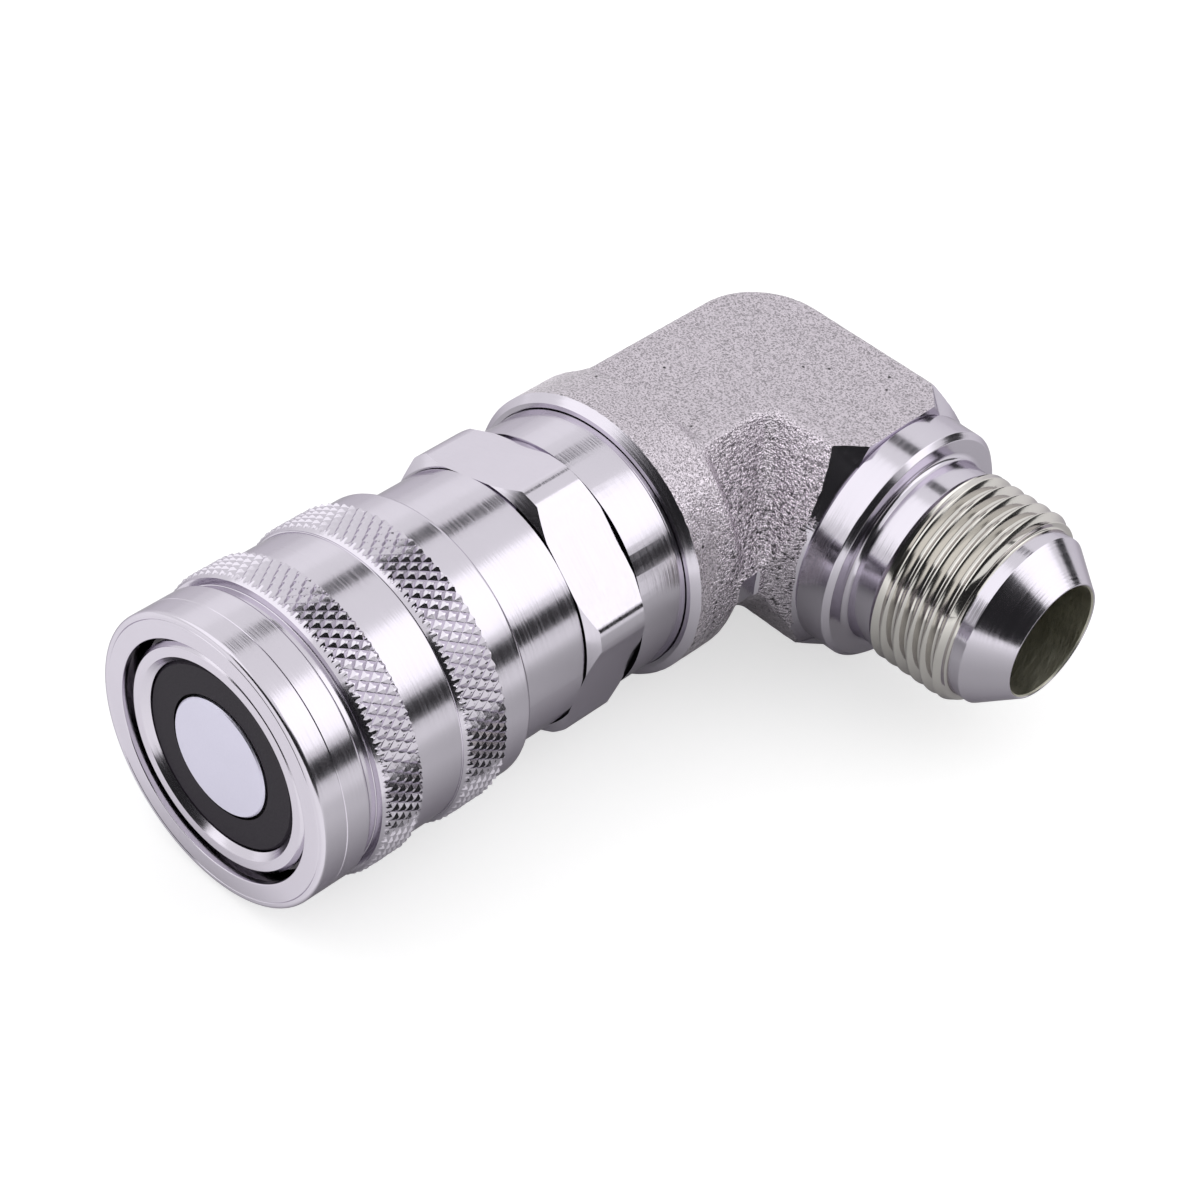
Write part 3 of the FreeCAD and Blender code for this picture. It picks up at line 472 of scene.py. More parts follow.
def turned_steel(name, colour, axis, roughness, mark, streak):
    """Steel turned on a lathe and plated: the tool leaves fine rings that stretch the light.

    mark is the strength of the rings, and streak the scale at which they break up along their way.
    """
    made, tree, out = new_material(name)
    radius, station, point = round_place(tree, axis)
    rings = add(tree, "ShaderNodeCombineXYZ", {0: radius, 1: station}).outputs[0]
    fine = vector(tree, "MULTIPLY", rings, (RING_SCALE,) * 3)
    slow = vector(tree, "MULTIPLY", point, (streak,) * 3)
    marks = speckle(tree, vector(tree, "ADD", fine, slow), 1.0, 2.0)
    surface(tree, out, {
        "Base Color": clouded(tree, point, colour, *PLATING_CLOUDS), "Metallic": 1.0,
        "Roughness": ramp(tree, marks, *RING_RANGE, *(roughness * share for share in RING_ROUGHNESS)),
        "Normal": bumped(tree, mark, RING_HEIGHT, marks), "Specular Tint": EDGE_TINT,
    })
    return made


# Shot dents of about 0.25 mm, on swells of 2 mm: scale, detail and roughness of the noise
DENTS = (4200.0, 1.0, 0.6)
SWELLS = (500.0, 2.0, 0.5)
# Pits of scale, 3 mm apart and about 0.4 mm wide: their rim in shares of the spacing
PIT_SCALE = 320.0
PIT_RIM = (0.05, 0.085)
# Inside the bend the worn die leaves ripples, about 0.7 mm long and 0.3 mm high.
RIPPLES = (1500.0, 2.0, 0.6)
RIPPLE_FORM = (1, 1, 2)
# They fade out with the distance from this point of the bend
BEND = (0.022, 0.067, 0)
BEND_REACH = (0.018, 0.008)
# They leave out the upper side of the round boss, which lies on this slope
BOSS_SLOPE = (0, 1, -0.5)
BOSS_EDGE = (0.059, 0.063)
# They end at the lip of the upper and lower flats, by how far the skin faces up or down
LIP = (0.86, 0.72)
# Noise values from dark to clear, and the shade of the dark ones. The same noise raises the skin, so on the
# ripples the dark lies in their valleys, partly grain tone and partly a painted shade
DENT_TONE = (0.34, 0.56, 0.42)
RIPPLE_TONE = (0.34, 0.46, 0.12)
PIT_SHADE = 0.08
# Painted shade by facing: the upper and lower flats are coloured darker than the sides
FLAT_SHADE, SIDE_SHADE = 0.74, 0.93
# Heights against that of the swells, and the height of these
DENT_HEIGHT = 1.1
RIPPLE_HEIGHT = 5.0
SKIN_HEIGHT = 0.00013
# The roughness follows the swells, and is less on the ripples
SKIN_ROUGHNESS = (0.3, 0.7, 0.25, 0.33)
RIPPLE_ROUGHNESS = -0.09


def forged_steel(name, colour):
    """Steel forged hot, shot blasted and plated: a fine even grain with dark pits and a soft sheen."""
    made, tree, out = new_material(name)
    place = add(tree, "ShaderNodeTexCoord").outputs["Object"]
    dents = speckle(tree, place, *DENTS)
    swell = speckle(tree, place, *SWELLS)
    pits = add(tree, "ShaderNodeTexVoronoi", {"Vector": place, "Scale": PIT_SCALE, "Randomness": 1.0})
    hole = ramp(tree, pits.outputs["Distance"], *PIT_RIM, PIT_SHADE)
    grain = calc(tree, "MULTIPLY", ramp(tree, dents, *DENT_TONE), hole)

    level = vector(tree, "MULTIPLY", vector(tree, "SUBTRACT", place, BEND), (1, 1, 0))
    near = ramp(tree, vector(tree, "LENGTH", level), *BEND_REACH)
    past_boss = ramp(tree, vector(tree, "DOT_PRODUCT", place, BOSS_SLOPE), *BOSS_EDGE)
    normal = add(tree, "ShaderNodeNewGeometry").outputs["Normal"]
    facing = add(tree, "ShaderNodeSeparateXYZ", {0: vector(tree, "ABSOLUTE", normal)})
    steep = ramp(tree, facing.outputs["Z"], *LIP)
    inner = calc(tree, "MULTIPLY", calc(tree, "MULTIPLY", near, past_boss), steep)

    ripple = speckle(tree, vector(tree, "MULTIPLY", place, RIPPLE_FORM), *RIPPLES)
    # The ripples' low parts are coloured dark: partly grain tone, partly a painted shade in their valleys
    ripple_valley_shade = ramp(tree, ripple, *RIPPLE_TONE)
    # Painted shade and light: flats darker and sides lighter by which way the skin faces, and inside the
    # bend the clear colour lighter still, a painted light there
    facing_shade = ramp(tree, steep, 0.0, 1.0, FLAT_SHADE, SIDE_SHADE)
    shade = calc(tree, "MULTIPLY", grain, ramp(tree, inner, 0.0, 1.0, facing_shade, ripple_valley_shade))
    tone = add(tree, "ShaderNodeMixRGB", {0: 1.0, 1: list(colour), 2: shade}, blend_type="MULTIPLY")

    height = calc(tree, "MULTIPLY_ADD", dents, DENT_HEIGHT, swell)
    ripple = calc(tree, "MULTIPLY", ripple, inner)
    height = calc(tree, "MULTIPLY_ADD", ripple, RIPPLE_HEIGHT, height)
    rough = calc(tree, "MULTIPLY_ADD", inner, RIPPLE_ROUGHNESS, ramp(tree, swell, *SKIN_ROUGHNESS))
    surface(tree, out, {
        "Base Color": tone.outputs[0], "Metallic": 1.0, "Roughness": rough,
        "Normal": bumped(tree, 1.0, SKIN_HEIGHT, height),
    })
    return made


# Noise values that the grain's roughness spans, and its clouds of 7 mm: scale, detail and shade
GRAIN_RANGE = (0.3, 0.7)
COAT_CLOUDS = (140.0, 2.0, 0.93)


def coat(name, colour, metallic, roughness, spread, grain, height, gloss=0.5):
    """An even finish with a little grain, in millimetres: coats, rubber, polymer, wire, blasted steel."""
    made, tree, out = new_material(name)
    place = add(tree, "ShaderNodeTexCoord").outputs["Object"]
    pattern = speckle(tree, place, 1 / MM / grain, 3.0)
    surface(tree, out, {
        "Base Color": clouded(tree, place, colour, *COAT_CLOUDS), "Metallic": metallic,
        "Roughness": ramp(tree, pattern, *GRAIN_RANGE, roughness - spread, roughness + spread),
        "Normal": bumped(tree, 0.5, height * MM, pattern), "Specular IOR Level": gloss,
    })
    return made


def finish(name):
    """Finds a finish by its name, and makes it the first time."""
    if name in bpy.data.materials:
        return bpy.data.materials[name]
    colours = bpy.context.scene.coupling_finish
    # maker, colour and its further values in the maker's order
    finishes = {
        "plated_steel_turned": (turned_steel, colours.plated, "Y", 0.16, 0.35, 60),
        "plated_steel_turned_flare": (turned_steel, colours.plated, "X", 0.15, 0.30, 60),
        "plated_steel_thread": (turned_steel, colours.thread, "X", 0.14, 0.10, 40),
        "plated_steel_bored": (turned_steel, colours.bore, "X", 0.38, 0.80, 900),
        "steel_forged_plated": (forged_steel, colours.forged),
        "steel_black_coated": (coat, colours.black, 0.0, 0.50, 0.05, 0.25, 0.01, 0.2),
        # Painted shade: a near-black film put in the joint grooves, standing for the shade in them
        "oil_film_dark": (coat, linear("#060507"), 0.0, 0.60, 0.05, 0.25, 0.01, 0.05),
        "steel_satin_blasted": (coat, colours.satin, 1.0, 0.40, 0.05, 0.30, 0.01),
        "ball_steel_polished": (coat, linear("#D9D9D9"), 1.0, 0.10, 0.03, 0.50, 0.002),
        "spring_wire_drawn": (coat, linear("#A9A7A6"), 1.0, 0.32, 0.06, 0.20, 0.01),
        "nitrile_rubber_moulded": (coat, linear("#1B1B1C"), 0.0, 0.60, 0.08, 0.30, 0.02),
        "polymer_ring_turned": (coat, linear("#E6E1D6"), 0.0, 0.45, 0.06, 0.30, 0.01),
    }
    make, *values = finishes[name]
    return make(name, *values)


# Pieces


class COUPLING_OT_release_sleeve(bpy.types.Operator):
    """Builds the release sleeve with its two knurled bands"""

    bl_idname = "coupling.release_sleeve"
    bl_label = "Release sleeve"

    MOUTH = -1.15
    BANDS = ((8.55, 13.40), (21.25, 26.70))
    REAR = 31.35
    CREST = 19.75
    COLLAR = 19.0
    BORE = 17.3
    # Rows of the bevel before a band, by their distance from it, and the bevel's fall
    BEVEL = (1.05, 0.75, 0.5, 0.25)
    BEVEL_FALL = 0.55
    # Samples in a diamond, both ways, and the least room between the last two rows
    FINE = 8
    ROW_ROOM = 0.02
    # How far the grooves run out into the bevel, and the least height over the collar at which they lie
    RUN_OUT = 1.0
    OVER_COLLAR = 0.1
    # Flat share of a diamond from its middle, how much it is worn, and factors that scatter the wear
    FLAT = 0.10
    WEAR = 0.05
    SCATTER = (12.9898, 78.233)
    SHARP = math.radians(20)

    def band(self, start, end, length):
        """Points of one band's bevel and rows, which lie on the grooves."""
        bevel = [(start - back, self.CREST - self.BEVEL_FALL * back, 0) for back in self.BEVEL]
        rows = list(np.arange(start, end - self.ROW_ROOM, length / MM / self.FINE)) + [end]
        return bevel + [(y, self.CREST, 0) for y in rows]

    def profile(self, settings):
        """Section of the sleeve, from the mouth round the outside and back through the bore."""
        mouth, collar, rear, bore = self.MOUTH, self.COLLAR, self.REAR, self.BORE
        line = settings.scribe_depth / MM
        first, second = (self.band(*ends, settings.knurl_length) for ends in self.BANDS)
        front = [
            (mouth, 15.7, 0.12), (mouth, 18.05, 0), (mouth + line, 18.12, 0), (mouth, 18.19, 0),
            (mouth, collar, 0.5), (2.28, collar, 0), (2.36, collar - line, 0), (2.44, collar, 0),
            (6.10, collar, 0.5), (6.10, 18.2, 0.15), (7.50, 18.2, 0.15),
        ]
        waist = [(13.40, collar, 0.1), (20.20, collar, 0.1)]
        back = [
            (26.70, collar - 0.12, 0), (26.86, collar - 0.12, 0), (26.90, collar, 0), (rear, collar, 0.5),
            (rear, bore, 0.2), (12.32, bore, 0.3), (12.32, 14.95, 0.2), (8.82, 14.95, 0.2),
            (7.27, 16.5, 0), (-0.2, 16.5, 0), (-0.2, 15.7, 0.12),
        ]
        return rounded(front + first + waist + second + back)

    def knurl(self, settings):
        """How deep the two crossing sets of grooves lie under the crest and its front bevel."""
        depth = settings.knurl_depth / MM
        count = settings.knurl_count
        least = self.COLLAR + self.OVER_COLLAR

        def relief(station, radius, angle):
            sink = np.zeros((len(station), angle.shape[1]))
            around = angle * count / (2 * math.pi)
            for start, end in self.BANDS:
                inside = (station > start - self.RUN_OUT) & (station < end + EPS) & (radius > least)
                along = (station - start) * MM / settings.knurl_length
                one, two = around + along, around - along
                out = np.maximum(abs(one - np.round(one)), abs(two - np.round(two)))
                height = np.interp(out, (self.FLAT, 0.5), (1.0, 0.0))
                scatter = self.SCATTER[0] * np.round(one) + self.SCATTER[1] * np.round(two)
                wear = self.WEAR + self.WEAR * np.sin(scatter)
                floor = self.CREST - depth * (1 - height * (1 - wear))
                sink = np.where(inside, np.maximum(radius - floor, 0), sink)
            return sink

        return relief

    def execute(self, context):
        settings = context.scene.coupling_sleeve
        segments = settings.knurl_count * self.FINE
        shell = lathe(self.profile(settings), segments, "Y", self.knurl(settings))
        mesh = mesh_of("release_sleeve", shell)
        mesh.set_sharp_from_angle(angle=self.SHARP)
        material = finish("plated_steel_turned")
        piece("release_sleeve", mesh, material, "sleeve", "outer_sleeve")
        return {"FINISHED"}


class COUPLING_OT_flare_end(bpy.types.Operator):
    """Builds the turned flare end with its cut thread"""

    bl_idname = "coupling.flare_end"
    bl_label = "Flare end"

    SEGMENTS = 240
    BORE = 7.85
    # Screwed length, between its bevels, and how far its groove runs in
    THREAD = (32.9, 42.9)
    RUN_IN = 1.4
    MAJOR = 13.494
    # Share of the depth at places between one crest and the next, in turns
    PLACES = (0.04, 0.09, 0.36, 0.44)
    SHARES = (0.0, 0.07, 0.94, 1.0)
    # Stations and least radius of the thread's finish, and the greatest radius of the bore's
    THREAD_FINISH = (32.5, 44.6)
    THREAD_LEAST = 11.5
    BORE_MOST = 8.0

    def profile(self, pitch):
        """Section of the flare end, from its rear face round the outside and back through the bore."""
        start, end = self.THREAD
        front = rounded([
            (23.0, self.BORE, 0), (23.0, 16.15, 0.05), (23.2, 16.35, 0.05), (27.3, 16.35, 0.15),
            (28.0, 15.65, 0.15), (28.0, 12.9, 0.8), (32.2, 12.9, 0.2), (start, self.MAJOR, 0),
        ])
        places = [-p for p in self.PLACES[::-1]] + list(self.PLACES)
        turns = np.arange(math.floor(start / pitch) - 1, math.ceil(end / pitch) + 1)
        screw = np.array([(pitch * (turn + place), self.MAJOR) for turn in turns for place in places])
        rear = rounded([
            (end, self.MAJOR, 0), (43.6, 12.794, 0.1), (43.6, 11.95, 0.3), (45.7, 11.95, 0),
            (50.61, 8.25, 0.08), (50.61, 8.10, 0.05), (50.36, self.BORE, 0),
        ])
        winding = (len(front), len(front) + len(screw) - 1, len(places), pitch, start, end)
        return np.concatenate([front, screw, rear]), winding

    def execute(self, context):
        settings = context.scene.coupling_thread
        pitch, depth = settings.pitch / MM, settings.depth / MM
        start, end = self.THREAD

        def relief(station, radius, angle):
            turn = station / pitch - angle / (2 * math.pi)
            groove = depth * np.interp(abs(turn - np.round(turn)), self.PLACES, self.SHARES)
            run_in = np.clip((station - start) / self.RUN_IN, 0, 1)
            inside = (station > start - EPS) & (station < end + EPS) & (radius > self.MAJOR - EPS)
            return np.where(inside, groove * run_in, 0)

        points, winding = self.profile(pitch)
        mesh = mesh_of("flare_end", lathe(points, self.SEGMENTS, "X", relief, winding))
        piece("flare_end", mesh, finish("plated_steel_turned_flare"), "fitting", "elbow")
        mesh.materials.append(finish("plated_steel_thread"))
        mesh.materials.append(finish("plated_steel_bored"))
        first, last = self.THREAD_FINISH
        for face in mesh.polygons:
            x, y, z = (c / MM for c in face.center)
            radius = math.hypot(y - ELBOW_Y, z)
            if first < x < last and radius > self.THREAD_LEAST:
                face.material_index = 1
            if radius < self.BORE_MOST:
                face.material_index = 2
        return {"FINISHED"}


class COUPLING_OT_elbow_forging(bpy.types.Operator):
    """Builds the forged elbow and cuts its boss, port and end as a lathe would"""

    bl_idname = "coupling.elbow_forging"
    bl_label = "Elbow forging"

    # Fillers of the solid's bores, and what the lathe takes off, each round one of the port axes
    BLANKS = (
        ("Y", ((58.9, 0), (58.9, 19.35), (64.0, 19.35), (64.0, 13.7), (76.5, 13.7), (76.5, 8.5),
               (98.6, 8.5), (98.6, 0))),
        ("X", ((-8.5, 0), (-8.5, 8.5), (40.0, 8.5), (40.0, 0))),
    )
    CUTS = (
        ("Y", ((57, 0), (57, 24), (64.95, 24), (59.3, 18.35), (59.3, 17.75), (60.65, 17.75),
               (60.65, 13.25), (74.8, 13.25), (77.0, 8.0), (90.4, 8.0), (90.4, 0))),
        ("X", ((-0.5, 0), (-0.5, 7.85), (23.0, 7.85), (23.0, 16.02), (19.65, 19.25), (19.65, 24.3),
               (60.0, 24.3), (60.0, 0))),
    )
    BLANK_SEGMENTS = 160
    CUT_SEGMENTS = 240
    # Stock between the flare arm's corners, half the arm's height, where its corners lie in degrees from
    # its flats, and the stock's radius beside the flats
    STOCK = ((17.0, 0), (17.0, 19.0), (23.4, 19.0), (23.4, 0))
    FLAT = 16.59
    CORNER = 30.0
    BESIDE = 15.5
    # Stations and radii between which the facing's points lie, and the station that its rim lies before
    FACING = ((19, 24), (16, 20))
    RIM = 20
    # Lift of the facing for each degree within the corners, and at most
    CORNER_LIFT = 0.178
    CORNER_MOST = 3.0
    # Lift of its rim at the arm's sides, which begin and end at these degrees from the flats
    SIDE = (55.0, 70.0)
    SIDE_LIFT = 1.2
    # Easing of the skin
    EASE = 0.5
    EASE_STEPS = 2
    # The worn die: where the bend's inside faces, from which share of that the wear grows and how fast,
    # how far from the port axes it begins, and over what length, in metres
    INWARD = (0.707, -0.707, 0)
    WEAR_FROM, WEAR_GAIN = 0.35, 4
    WEAR_AWAY, WEAR_FADE = 0.006, 0.003
    # Patches of grain per metre, fine and coarse, and the coarse grain's stretch and height
    GRAIN, COARSE = 1300, 900
    COARSE_FORM = (1, 1, 0.45)
    COARSE_HEIGHT = 3.0

    def from_flat(self, angle):
        """Degrees round the flare axis from the arm's upper or lower flat."""
        return np.degrees(np.arccos(abs(np.cos(angle))))

    def under_flat(self, station, radius, angle):
        """Sinks the stock under the arm's flats, and well inside the arm beside them."""
        turn = self.from_flat(angle)
        flat = self.FLAT / np.cos(np.radians(np.minimum(turn, self.CORNER)))
        return np.maximum(radius - np.where(turn < self.CORNER, flat, self.BESIDE), 0)

    def at_corners(self, station, radius, angle):
        """Lifts the facing cut between the arm's corners, which it only breaks, and its rim beside them."""
        turn = self.from_flat(angle)
        lift = np.clip((self.CORNER - turn) * self.CORNER_LIFT, 0, self.CORNER_MOST)
        side = np.clip((turn - self.SIDE[0]) / (self.SIDE[1] - self.SIDE[0]), 0, 1) * self.SIDE_LIFT
        (first, last), (low, high) = self.FACING
        facing = (station > first) & (station < last) & (radius > low) & (radius < high)
        return np.where(facing, -lift - np.where(station < self.RIM, side, 0), 0)

    def blank(self, cell):
        """The rough forging: the solid's own shape with its bores filled, as one even skin."""
        solid, faces = shell_of("elbow")
        verts = [solid]
        fillers = [lathe(points, self.BLANK_SEGMENTS, axis) for axis, points in self.BLANKS]
        fillers.append(lathe(self.STOCK, self.BLANK_SEGMENTS, "X", self.under_flat))
        for filler in fillers:
            filler, ring = weld(*filler)
            start = sum(len(v) for v in verts)
            verts.append(filler)
            faces += [[i + start for i in face] for face in ring]
        mesh = bpy.data.meshes.new("elbow_forging")
        mesh.from_pydata((np.concatenate(verts) * MM).tolist(), [], faces, shade_flat=False)
        made = loose_object("elbow_forging", mesh)
        skin = made.modifiers.new("skin", "REMESH")
        skin.mode = "VOXEL"
        skin.voxel_size = cell
        skin.use_smooth_shade = True
        ease = made.modifiers.new("ease", "SMOOTH")
        ease.factor = self.EASE
        ease.iterations = self.EASE_STEPS
        baked(made)
        return made

    def roughen(self, mesh, height):
        """Sinks the skin by a fine grain, deeper inside the bend, where the die wears."""
        count = len(mesh.vertices)
        co, normal = np.zeros(count * 3), np.zeros(count * 3)
        mesh.vertices.foreach_get("co", co)
        mesh.vertex_normals.foreach_get("vector", normal)
        co, normal = co.reshape(-1, 3), normal.reshape(-1, 3)
        worn = np.clip((normal @ np.array(self.INWARD) - self.WEAR_FROM) * self.WEAR_GAIN, 0, 1)
        for away in (co[:, 0], ELBOW_Y * MM - co[:, 1]):
            worn *= np.clip((away - self.WEAR_AWAY) / self.WEAR_FADE, 0, 1)
        grain = np.array([noise.noise(Vector(p) * self.GRAIN) for p in co])
        coarse = np.array([noise.noise(Vector(p) * self.COARSE) for p in co * self.COARSE_FORM])
        lift = height * (grain - 1 + worn * self.COARSE_HEIGHT * coarse)
        mesh.vertices.foreach_set("co", (co + normal * lift[:, None]).ravel())
        mesh.update()

    def execute(self, context):
        settings = context.scene.coupling_forging
        made = self.blank(settings.cell)
        self.roughen(made.data, settings.grain_height)
        made.data.materials.clear()
        made.data.materials.append(finish("steel_forged_plated"))
        for axis, points in self.CUTS:
            relief = self.at_corners if axis == "X" else None
            cutter = mesh_of("cutter", lathe(points, self.CUT_SEGMENTS, axis, relief))
            flare = "_flare" if axis == "X" else ""
            cutter.materials.append(finish("plated_steel_turned" + flare))
            cut(made, cutter)
        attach(made, "fitting")
        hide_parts("elbow")
        return {"FINISHED"}


class COUPLING_OT_joint_lines(bpy.types.Operator):
    """Builds the valve ring and the hexagon with the narrow grooves at their joints, painted near black as
    shade
    """

    bl_idname = "coupling.joint_lines"
    bl_label = "Joint lines"

    SEGMENTS = 200
    # piece, node, body, slot, finish, then for each groove its first and last station, its radii, and the
    # x from which the groove is painted near black as the shade in it
    GROOVED = (
        ("valve_ring", "valve_sleeve", "valve", "black_coat", "steel_black_coated",
         ((-0.2, 0.9, 7.0, 8.1, -9.0),)),
        ("hexagon", "hex_adapter", "fitting", "plated_steel", "plated_steel_turned",
         ((41.8, 42.2, 16.75, 24.0, 4.4), (51.54, 51.85, 16.9, 24.0, 4.4))),
    )

    def execute(self, context):
        for name, node, body, slot, material, grooves in self.GROOVED:
            made = piece(name, mesh_of(name, shell_of(node)), finish(material), body, node)
            for start, end, low, high, shade_from_x in grooves:
                section = ((start, low), (start, high), (end, high), (end, low))
                cutter = mesh_of("cutter", lathe(section, self.SEGMENTS))
                # The groove's cut faces are painted near black as shade from the given x on, and keep the
                # piece's finish before it
                cutter.materials.append(finish("oil_film_dark"))
                cutter.materials.append(finish(material))
                for face in cutter.polygons:
                    face.material_index = int(face.center.x < shade_from_x * MM)
                cut(made, cutter)
        return {"FINISHED"}


class COUPLING_OT_springs(bpy.types.Operator):
    """Winds the two springs"""

    bl_idname = "coupling.springs"
    bl_label = "Springs"

    # piece, node, joint, mean radius, wire radius, start, fixed end, turns, share of length left at the
    # joint's limit
    COILS = (
        ("sleeve_coil", "sleeve_spring", "sleeve_pull", 16.025, 0.6, 12.42, 23.9, 4, 0.565),
        ("valve_coil", "valve_spring", "valve_push", 9.5, 0.8, 6.17, 30.9, 6, 0.555),
    )

    def execute(self, context):
        for name, node, joint, radius, wire, start, end, turns, keep in self.COILS:
            mesh = mesh_of(name, coil(radius, wire, start, end, turns))
            made = piece(name, mesh, finish("spring_wire_drawn"), "fitting", node)
            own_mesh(made)
        return {"FINISHED"}


class COUPLING_OT_finishes(bpy.types.Operator):
    """Gives each solid that stays in view or inside its finish"""

    bl_idname = "coupling.finishes"
    bl_label = "Finishes"

    FINISHES = {
        "plated_steel": "plated_steel_turned",
        "forged_steel": "steel_forged_plated",
        "black_coat": "steel_black_coated",
        "satin_steel": "steel_satin_blasted",
        "ball_steel": "ball_steel_polished",
        "spring_steel": "spring_wire_drawn",
        "seal_rubber": "nitrile_rubber_moulded",
        "backup_polymer": "polymer_ring_turned",
    }

    def execute(self, context):
        for part in frame["record"]["subparts"]:
            mesh = frame["nodes"][part["node"]].data
            mesh.materials.clear()
            mesh.materials.append(finish(self.FINISHES[part["material_slot"]]))
        return {"FINISHED"}


class COUPLING_OT_stage(bpy.types.Operator):
    """Sets the floor, soft boxes, dark cards, room light and camera"""

    bl_idname = "coupling.stage"
    bl_label = "Stage"

    # What lamps and cards face
    AIM = (0.012, ELBOW_Y * MM * 0.6, 0)
    # name, direction from the part, width, height, distance, brightness
    LAMPS = (
        ("soft_box_back", (0.567, 0.476, 0.672), 0.55, 0.40, 0.62, 0.65),
        ("soft_box_left", (-0.548, -0.384, 0.743), 0.60, 0.64, 0.62, 0.42),
        ("soft_box_side", (-0.775, 0.484, 0.407), 0.35, 0.22, 0.62, 0.14),
    )
    PAPERS = {"card_paper_black": "#1A1A1C", "card_paper_grey": "#6E6E70"}
    # name, direction from the part, way its height runs, width, height, distance, paper
    CARDS = (
        ("card_front_left", (0.112, -0.914, 0.391), (0, 0, 1), 0.60, 0.47, 0.60, "card_paper_black"),
        ("card_front_right", (0.871, -0.317, 0.375), (0, 0, 1), 0.95, 0.55, 0.60, "card_paper_black"),
        ("card_back", (0.833, 0.5205, 0.187), (0, 0, 1), 1.30, 0.17, 0.62, "card_paper_black"),
        ("card_top", (-0.400, 0.500, 0.770), (0, 1, 0), 0.12, 0.12, 0.66, "card_paper_grey"),
    )
    FLOOR_HALF = 3
    # Ends of the two port axes over the floor, the distances from them over which the paper's glow comes
    # to show in the metal, and its greatest share there: near the part a painted shade, away from it a
    # painted light
    AXES = (((0, 0, 0), (0, 0.105, 0)), ((0, 0.0904, 0), (0.050, 0.0904, 0)))
    BESIDE = (0.025, 0.100)
    BESIDE_SHARE = 0.65
    # Stations before the coupling's face over which all of the glow comes to show in the metal, a painted
    # light there
    AHEAD = (0.001, -0.007)
    # The camera's right, up and back, its place, and its lens in millimetres
    RIGHT = (0.71511, 0.69242, 0.09602)
    UP = (-0.51785, 0.43229, 0.73818)
    BACK = (0.46965, -0.57759, 0.66767)
    EYE = (0.191733, -0.171335, 0.259203)
    LENS = 95.585
    SENSOR = 36
    CLIP = (0.01, 20)

    def facing(self, made, direction, distance, along=(0, 0, 1)):
        """Puts a lamp or card in a direction from the part and turns it towards the part."""
        out = Vector(direction).normalized()
        high = Vector(along) - out * out.dot(Vector(along))
        high.normalize()
        turn = Matrix((high.cross(out), high, out)).transposed().to_4x4()
        made.matrix_world = Matrix.Translation(Vector(self.AIM) + out * distance) @ turn

    def flat_mesh(self, name, half_width, half_height, z, material):
        """A level rectangle about the origin."""
        w, h = half_width, half_height
        mesh = bpy.data.meshes.new(name)
        mesh.from_pydata([(-w, -h, z), (w, -h, z), (w, h, z), (-w, h, z)], [], [(0, 1, 2, 3)])
        mesh.materials.append(material)
        return mesh

    def lamps(self, level):
        """Soft boxes."""
        for name, direction, width, height, distance, brightness in self.LAMPS:
            lamp = bpy.data.lights.new(name, "AREA")
            lamp.shape = "RECTANGLE"
            lamp.size, lamp.size_y = width, height
            lamp.energy = level * brightness * math.pi * width * height
            self.facing(loose_object(name, lamp), direction, distance)

    def cards(self):
        """Dark cards, which only show in the metal."""
        papers = {
            name: coat(name, linear(code), 0.0, 0.9, 0.05, 0.8, 0.05) for name, code in self.PAPERS.items()
        }
        for name, direction, along, width, height, distance, paper in self.CARDS:
            made = loose_object(name, self.flat_mesh(name, width / 2, height / 2, 0, papers[paper]))
            self.facing(made, direction, distance, along)
            made.visible_camera = False
            made.visible_shadow = False
            made.visible_diffuse = False

    def seen(self, tree, in_metal):
        """Socket: 1 for rays that see a thing straight or through glass, a share in metal, 0 for light."""
        path = add(tree, "ShaderNodeLightPath").outputs
        straight = calc(tree, "ADD", path["Is Camera Ray"], path["Is Transmission Ray"], clamp=True)
        return calc(tree, "MULTIPLY_ADD", path["Is Glossy Ray"], in_metal, straight, clamp=True)

    def floor(self, colour, white):
        """Paper that glows white where it is seen straight; in the metal its glow is a painted light before
        the coupling's face and away from the part, and a painted shade near the part, where it is missing.
        """
        made, tree, out = new_material("floor_paper_white")
        paper = add(tree, "ShaderNodeBsdfDiffuse", {"Color": list(colour)})
        place = add(tree, "ShaderNodeTexCoord").outputs["Object"]
        level = vector(tree, "MULTIPLY", place, (1, 1, 0))
        gaps = []
        for low, high in self.AXES:
            near = vector(tree, "MINIMUM", vector(tree, "MAXIMUM", level, low), high)
            gaps.append(vector(tree, "DISTANCE", level, near))
        # Painted light and shade in the metal: the glow shows by place, less near the part and full before
        # its face
        beside = ramp(tree, calc(tree, "MINIMUM", *gaps), *self.BESIDE, 0.0, self.BESIDE_SHARE)
        station = add(tree, "ShaderNodeSeparateXYZ", {0: place}).outputs["Y"]
        share = calc(tree, "MAXIMUM", beside, ramp(tree, station, *self.AHEAD))
        lift = calc(tree, "MULTIPLY", self.seen(tree, share), white)
        glow = add(tree, "ShaderNodeEmission", {"Color": WHITE, "Strength": lift})
        both = add(tree, "ShaderNodeAddShader", {0: paper.outputs[0], 1: glow.outputs[0]})
        tree.links.new(both.outputs[0], out.inputs[0])
        mesh = self.flat_mesh("floor", self.FLOOR_HALF, self.FLOOR_HALF, CAD_BOX[0].z, made)
        loose_object("floor", mesh)

    def room(self, fill):
        """Even light from all sides, white where it is seen."""
        world = bpy.data.worlds.new("studio")
        world.use_nodes = True
        tree = world.node_tree
        tree.nodes.clear()
        out = add(tree, "ShaderNodeOutputWorld")
        level = ramp(tree, self.seen(tree, 1.0), 0.0, 1.0, fill, 1.0)
        light = add(tree, "ShaderNodeBackground", {"Color": WHITE, "Strength": level})
        tree.links.new(light.outputs[0], out.inputs[0])
        bpy.context.scene.world = world

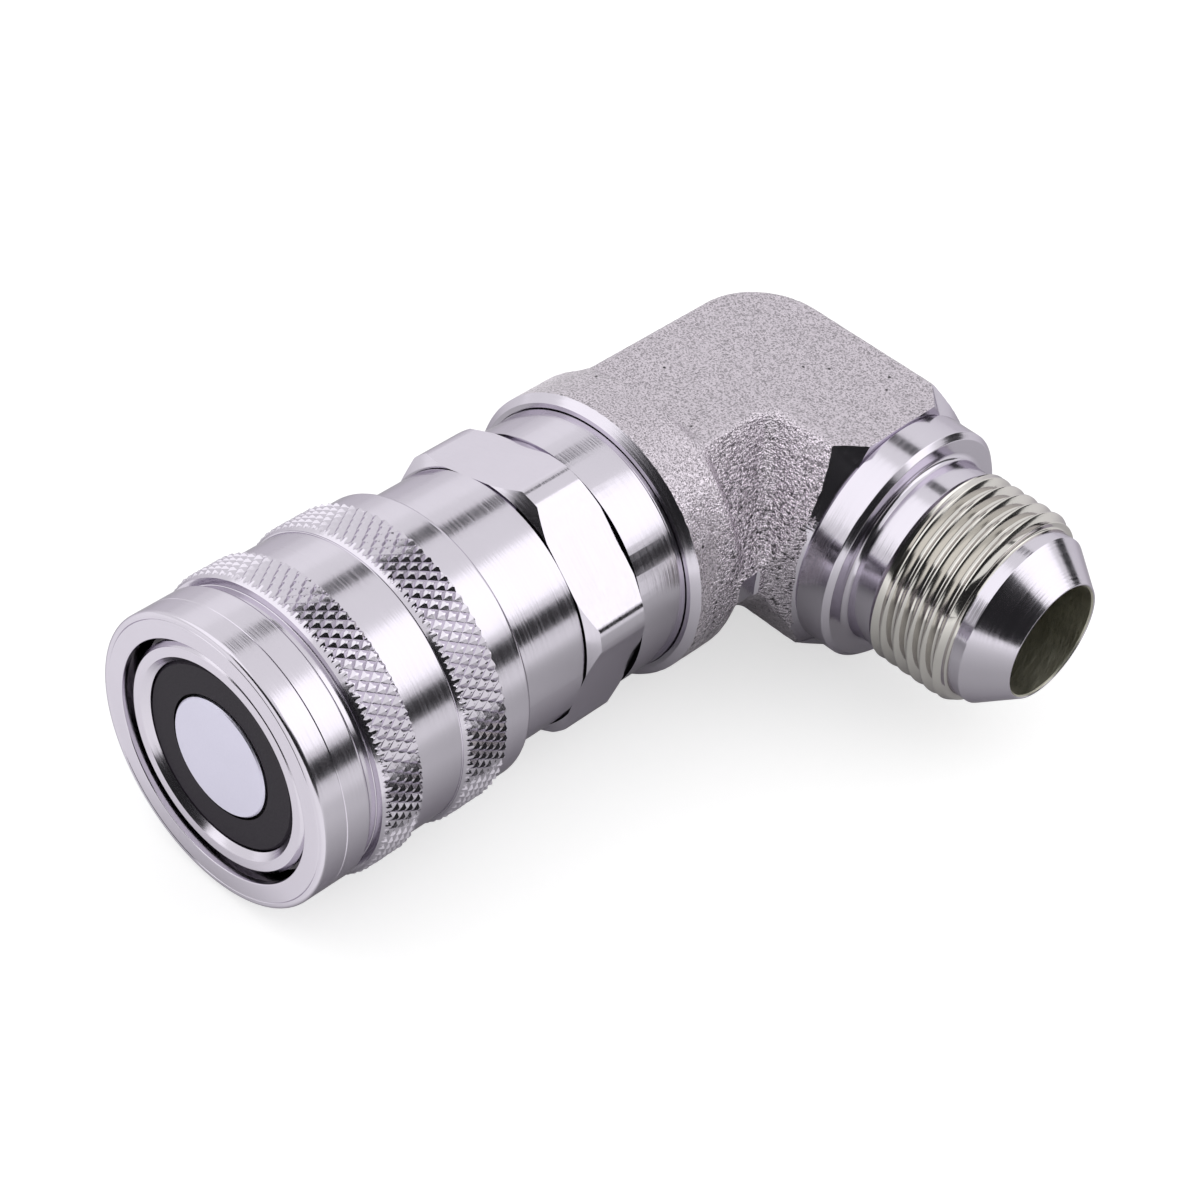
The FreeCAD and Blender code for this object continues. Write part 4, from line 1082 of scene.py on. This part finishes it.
    def camera(self):
        """The camera, with its place, turn and lens."""
        lens = bpy.data.cameras.new("camera")
        lens.sensor_width = self.SENSOR
        lens.lens = self.LENS
        lens.clip_start, lens.clip_end = self.CLIP
        made = loose_object("camera", lens)
        turn = Matrix((self.RIGHT, self.UP, self.BACK)).transposed().to_4x4()
        made.matrix_world = Matrix.Translation(self.EYE) @ turn
        bpy.context.scene.camera = made

    def execute(self, context):
        settings = context.scene.coupling_stage
        self.floor(settings.floor_colour, settings.floor_lift)
        self.room(settings.fill)
        self.lamps(settings.lamp_level)
        self.cards()
        self.camera()
        context.scene.view_settings.view_transform = "Standard"
        return {"FINISHED"}


OPERATORS = (
    COUPLING_OT_finishes,
    COUPLING_OT_release_sleeve,
    COUPLING_OT_elbow_forging,
    COUPLING_OT_flare_end,
    COUPLING_OT_joint_lines,
    COUPLING_OT_springs,
    COUPLING_OT_stage,
)

SETTINGS = {
    "coupling_sleeve": SleeveSettings,
    "coupling_thread": ThreadSettings,
    "coupling_forging": ForgingSettings,
    "coupling_finish": FinishSettings,
    "coupling_stage": StageSettings,
}


class COUPLING_PT_panel(bpy.types.Panel):
    """Lists the settings and the steps that build the coupling"""

    bl_idname = "COUPLING_PT_panel"
    bl_label = "Elbow quick coupling"
    bl_space_type = "VIEW_3D"
    bl_region_type = "UI"
    bl_category = "Coupling"

    def draw(self, context):
        for name, group in SETTINGS.items():
            box = self.layout.box()
            for key in group.__annotations__:
                box.prop(getattr(context.scene, name), key)
        for operator in OPERATORS:
            self.layout.operator(operator.bl_idname)


def register():
    """Adds the settings, the steps and the panel."""
    for group in SETTINGS.values():
        bpy.utils.register_class(group)
    for name, group in SETTINGS.items():
        setattr(bpy.types.Scene, name, bpy.props.PointerProperty(type=group))
    for operator in OPERATORS:
        bpy.utils.register_class(operator)
    bpy.utils.register_class(COUPLING_PT_panel)


def unregister():
    """Takes them out again."""
    bpy.utils.unregister_class(COUPLING_PT_panel)
    for operator in reversed(OPERATORS):
        bpy.utils.unregister_class(operator)
    for name in SETTINGS:
        delattr(bpy.types.Scene, name)
    for group in SETTINGS.values():
        bpy.utils.unregister_class(group)


def main():
    """Builds the coupling and its studio."""
    register()
    bpy.ops.coupling.finishes()
    bpy.ops.coupling.release_sleeve()
    bpy.ops.coupling.elbow_forging()
    bpy.ops.coupling.flare_end()
    bpy.ops.coupling.joint_lines()
    bpy.ops.coupling.springs()
    bpy.ops.coupling.stage()


if __name__ == "__main__":
    main()
